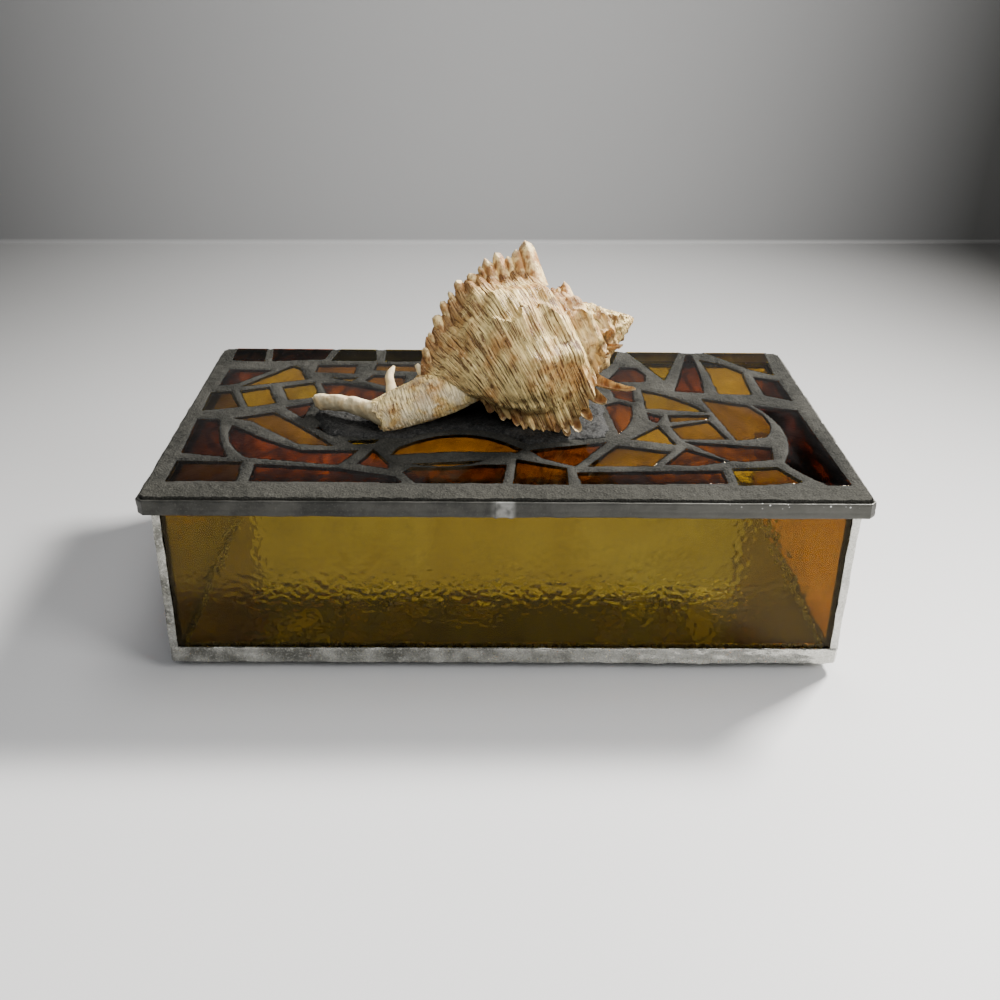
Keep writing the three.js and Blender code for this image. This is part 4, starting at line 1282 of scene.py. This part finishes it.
def shellFinish():
    horn = Finish("murexHorn", Specular_IOR_Level=0.4)
    place, ridge, whorl = horn.mark("place"), horn.mark("ridge"), horn.mark("whorl")
    along, turn = horn.mark("along"), horn.mark("turn")
    patch = horn.noise(11, 3, 0.6)
    broad = horn.noise(4.5, 3, 0.6)
    fine = horn.noise(1.1, 3, 0.6)
    grit = horn.noise(0.35, 2, 0.6)
    older = whorl.between(0.2, 1.0)
    canal = 1 - whorl.between(-0.8, -0.2)
    upper = turn.between(-5, 35) * (1 - turn.between(130, 170))
    across = place * shellTones["lineFine"] + broad * 0.8
    spiral = horn.node("ShaderNodeCombineXYZ", {0: across, 1: turn / shellTones["lineLong"], 2: whorl * 7})
    streaks = horn.noise(1, 3, 0.55, where=spiral)
    threads = horn.noise(0.5, 2, 0.5, where=spiral)
    cords = ((place + broad * 0.5) * (2 * math.pi / shell["cordPitch"])).maths("COSINE")
    ropes = ((place + broad * 0.8) * (2 * math.pi / shell["lobePitch"])).maths("COSINE")
    tone = horn.mix(patch.between(0.34, 0.58), shellTones["brown"], shellTones["cream"])
    # browner towards the canal end, the lower left: partly the shell's own brown, partly painted shade where
    # the light from the upper right falls off
    low = along.between(50, 68) * broad.between(0.3, 0.6) * (1 - canal)
    tone = horn.mix(low * 0.75, tone, shellTones["spire"])
    tone = horn.mix(turn.between(40, 95) * ridge.between(0.1, 0.5) * 0.75, tone, shellTones["crest"])
    stained = ridge.between(0.25, 0.85) * broad.between(0.36, 0.6)
    tone = horn.mix(stained * 0.6, tone, shellTones["crestPatch"])
    shown = (1 - older * 0.6) * (1 - canal * (1 - upper)) * horn.noise(5, 3, 0.7).between(0.32, 0.55)
    dark = (1 - streaks.between(0.40, 0.50)) * 0.9 + (1 - threads.between(0.38, 0.47)) * 0.7
    tone = horn.mix((dark * shown).atMost(0.92), tone, shellTones["line"])
    tone = horn.mix(ropes.between(0.2, 1) * ridge.between(0.15, 0.7) * 0.4, tone, shellTones["rope"])
    blotch = horn.noise(3.4, 3, 0.6).between(0.55, 0.66)
    tone = horn.mix(blotch * (ridge.between(0.05, 0.6) * 0.6 + 0.2), tone, shellTones["blotch"])
    knob = horn.noise(5.5, 2, 0.5).between(0.58, 0.68) * place.between(23, 25) * (1 - place.between(30, 33))
    tone = horn.mix(knob * 0.85, tone, shellTones["knob"])
    tone = horn.mix(older * horn.noise(6, 2, 0.5).between(0.35, 0.6) * 0.55, tone, shellTones["older"])
    tone = horn.mix(older * (1 - broad.between(0.36, 0.5)) * 0.75, tone, shellTones["olderDark"])
    tone = horn.mix(canal * broad.between(0.4, 0.62) * (0.9 - upper * 0.5), tone, shellTones["canal"])
    tone = horn.mix(fine.between(0.55, 0.75) * 0.4, tone, shellTones["powder"])
    lines = cords * 0.14 * (1 - older * 0.7) + streaks.between(0.38, 0.52) * 0.9
    relief = horn.bump(lines + fine * 0.4 + grit * 0.3 + broad, shellTones["relief"])
    return horn.feed(Base_Color=tone, Roughness=fine * 0.25 + 0.4, Normal=relief)


def spineFinish():
    horn = Finish("murexSpine", Specular_IOR_Level=0.4)
    up, hollow = horn.mark("spine"), horn.mark("hollow")
    fine = horn.noise(0.9, 3, 0.6)
    broad = horn.noise(3.0, 2, 0.5)
    streak = horn.noise(1.2, 2, 0.6, where=horn.coords(stretch=(1, 1, 0.3)))
    tone = horn.mix(broad.between(0.35, 0.65), shellTones["spineBrown"], shellTones["spineCream"])
    tone = horn.mix(streak.between(0.5, 0.62) * 0.6, tone, shellTones["spineStreak"])
    tone = horn.mix(hollow * 0.75, tone, shellTones["spineHollow"])
    tone = horn.mix(up.between(0.8, 1) * fine.between(0.3, 0.6) * 0.5, tone, shellTones["spineTip"])
    return horn.feed(Base_Color=tone, Roughness=fine * 0.25 + 0.42, Normal=horn.bump(fine + streak, 0.3))


def chalkFinish():
    chalk = Finish("wornCanal", Specular_IOR_Level=0.3)
    broad = chalk.noise(3.5, 3, 0.6)
    fine = chalk.noise(0.7, 3, 0.6)
    tone = chalk.mix(broad.between(0.35, 0.7), shellTones["chalk"], shellTones["chalkWorn"])
    tone = chalk.mix(fine.between(0.55, 0.75) * 0.35, tone, shellTones["chalkSpeck"])
    relief = chalk.bump(broad * 0.6 + fine * 0.5, 0.25)
    return chalk.feed(Base_Color=tone, Roughness=fine * 0.2 + 0.5, Normal=relief)


shellHorn, spineHorn, chalk = shellFinish(), spineFinish(), chalkFinish()
makeShellBody(shellHorn)
makeCanalTip(chalk)
makeSpines(spineHorn)
makeCanalSpines(chalk)
print("shell made")


# Bed of sand and adhesive under the shell
bed = {
    "spacing": 0.45, "height": 1.0, "slope": 2.4, "sunk": 0.12, "deep": 0.45,
    # how far it goes past its outline, its ragged edge, and the grains and the swell on top
    "over": 0.2, "ragged": 0.9, "raggedSize": 5, "grains": 0.6, "grainSize": 1.3, "swell": 0.15,
    "swellSize": 2.5, "grainsFrom": -0.3, "grainsTo": 0.8,
    "dark": (0.006, 0.006, 0.006), "grainTone": (0.05, 0.05, 0.047), "dustTone": (0.06, 0.057, 0.052),
}


def bedFinish():
    sand = Finish("blackSand", Specular_IOR_Level=0.15)
    grain = sand.noise(0.5, 3, 0.7)
    # the near-black ground is partly the black adhesive and partly painted shade under the shell
    tone = sand.mix(grain.between(0.4, 0.75), bed["dark"], bed["grainTone"])
    tone = sand.mix(sand.noise(9, 3, 0.6).between(0.5, 0.7) * 0.4, tone, bed["dustTone"])
    return sand.feed(Base_Color=tone, Roughness=grain * 0.3 + 0.45, Normal=sand.bump(grain, 0.3))


def makeBed():  # a low mound with a ragged edge and coarse grains
    low, high = boxOf("shell_bed")
    along, back = (np.arange(low[axis] - 1, high[axis] + 1, bed["spacing"]) for axis in range(2))
    x, y = np.meshgrid(along, back, indexing="ij")
    distance = signedDistance(x, y, bottomEdges("shell_bed"))
    here = flatPoints(x, y)
    edge = distance + layeredWaves(here, bed["raggedSize"], 3, 80) * bed["ragged"]
    mound = smoothStep(-edge, -bed["over"], bed["slope"]) * bed["height"]
    grains = (1 - np.clip(dimples(here, bed["grainSize"], 81), 0, 1)) * bed["grains"]
    grains = grains + layeredWaves(here, bed["swellSize"], 2, 83) * bed["swell"]
    grains = grains * smoothStep(-edge, bed["grainsFrom"], bed["grainsTo"])
    top = low[2] - bed["sunk"] + mound + grains
    bottom = np.full(x.shape, low[2] - bed["deep"])
    inside = edge < bed["over"]
    keep = inside[:-1, :-1] & inside[1:, 1:] & inside[1:, :-1] & inside[:-1, 1:]
    points, faces = platePiece(x, y, top, bottom, keep)
    makePiece("sandBed", points, faces, "bed", bedFinish(), ["shell_bed"], 70)


makeBed()
print("bed made")
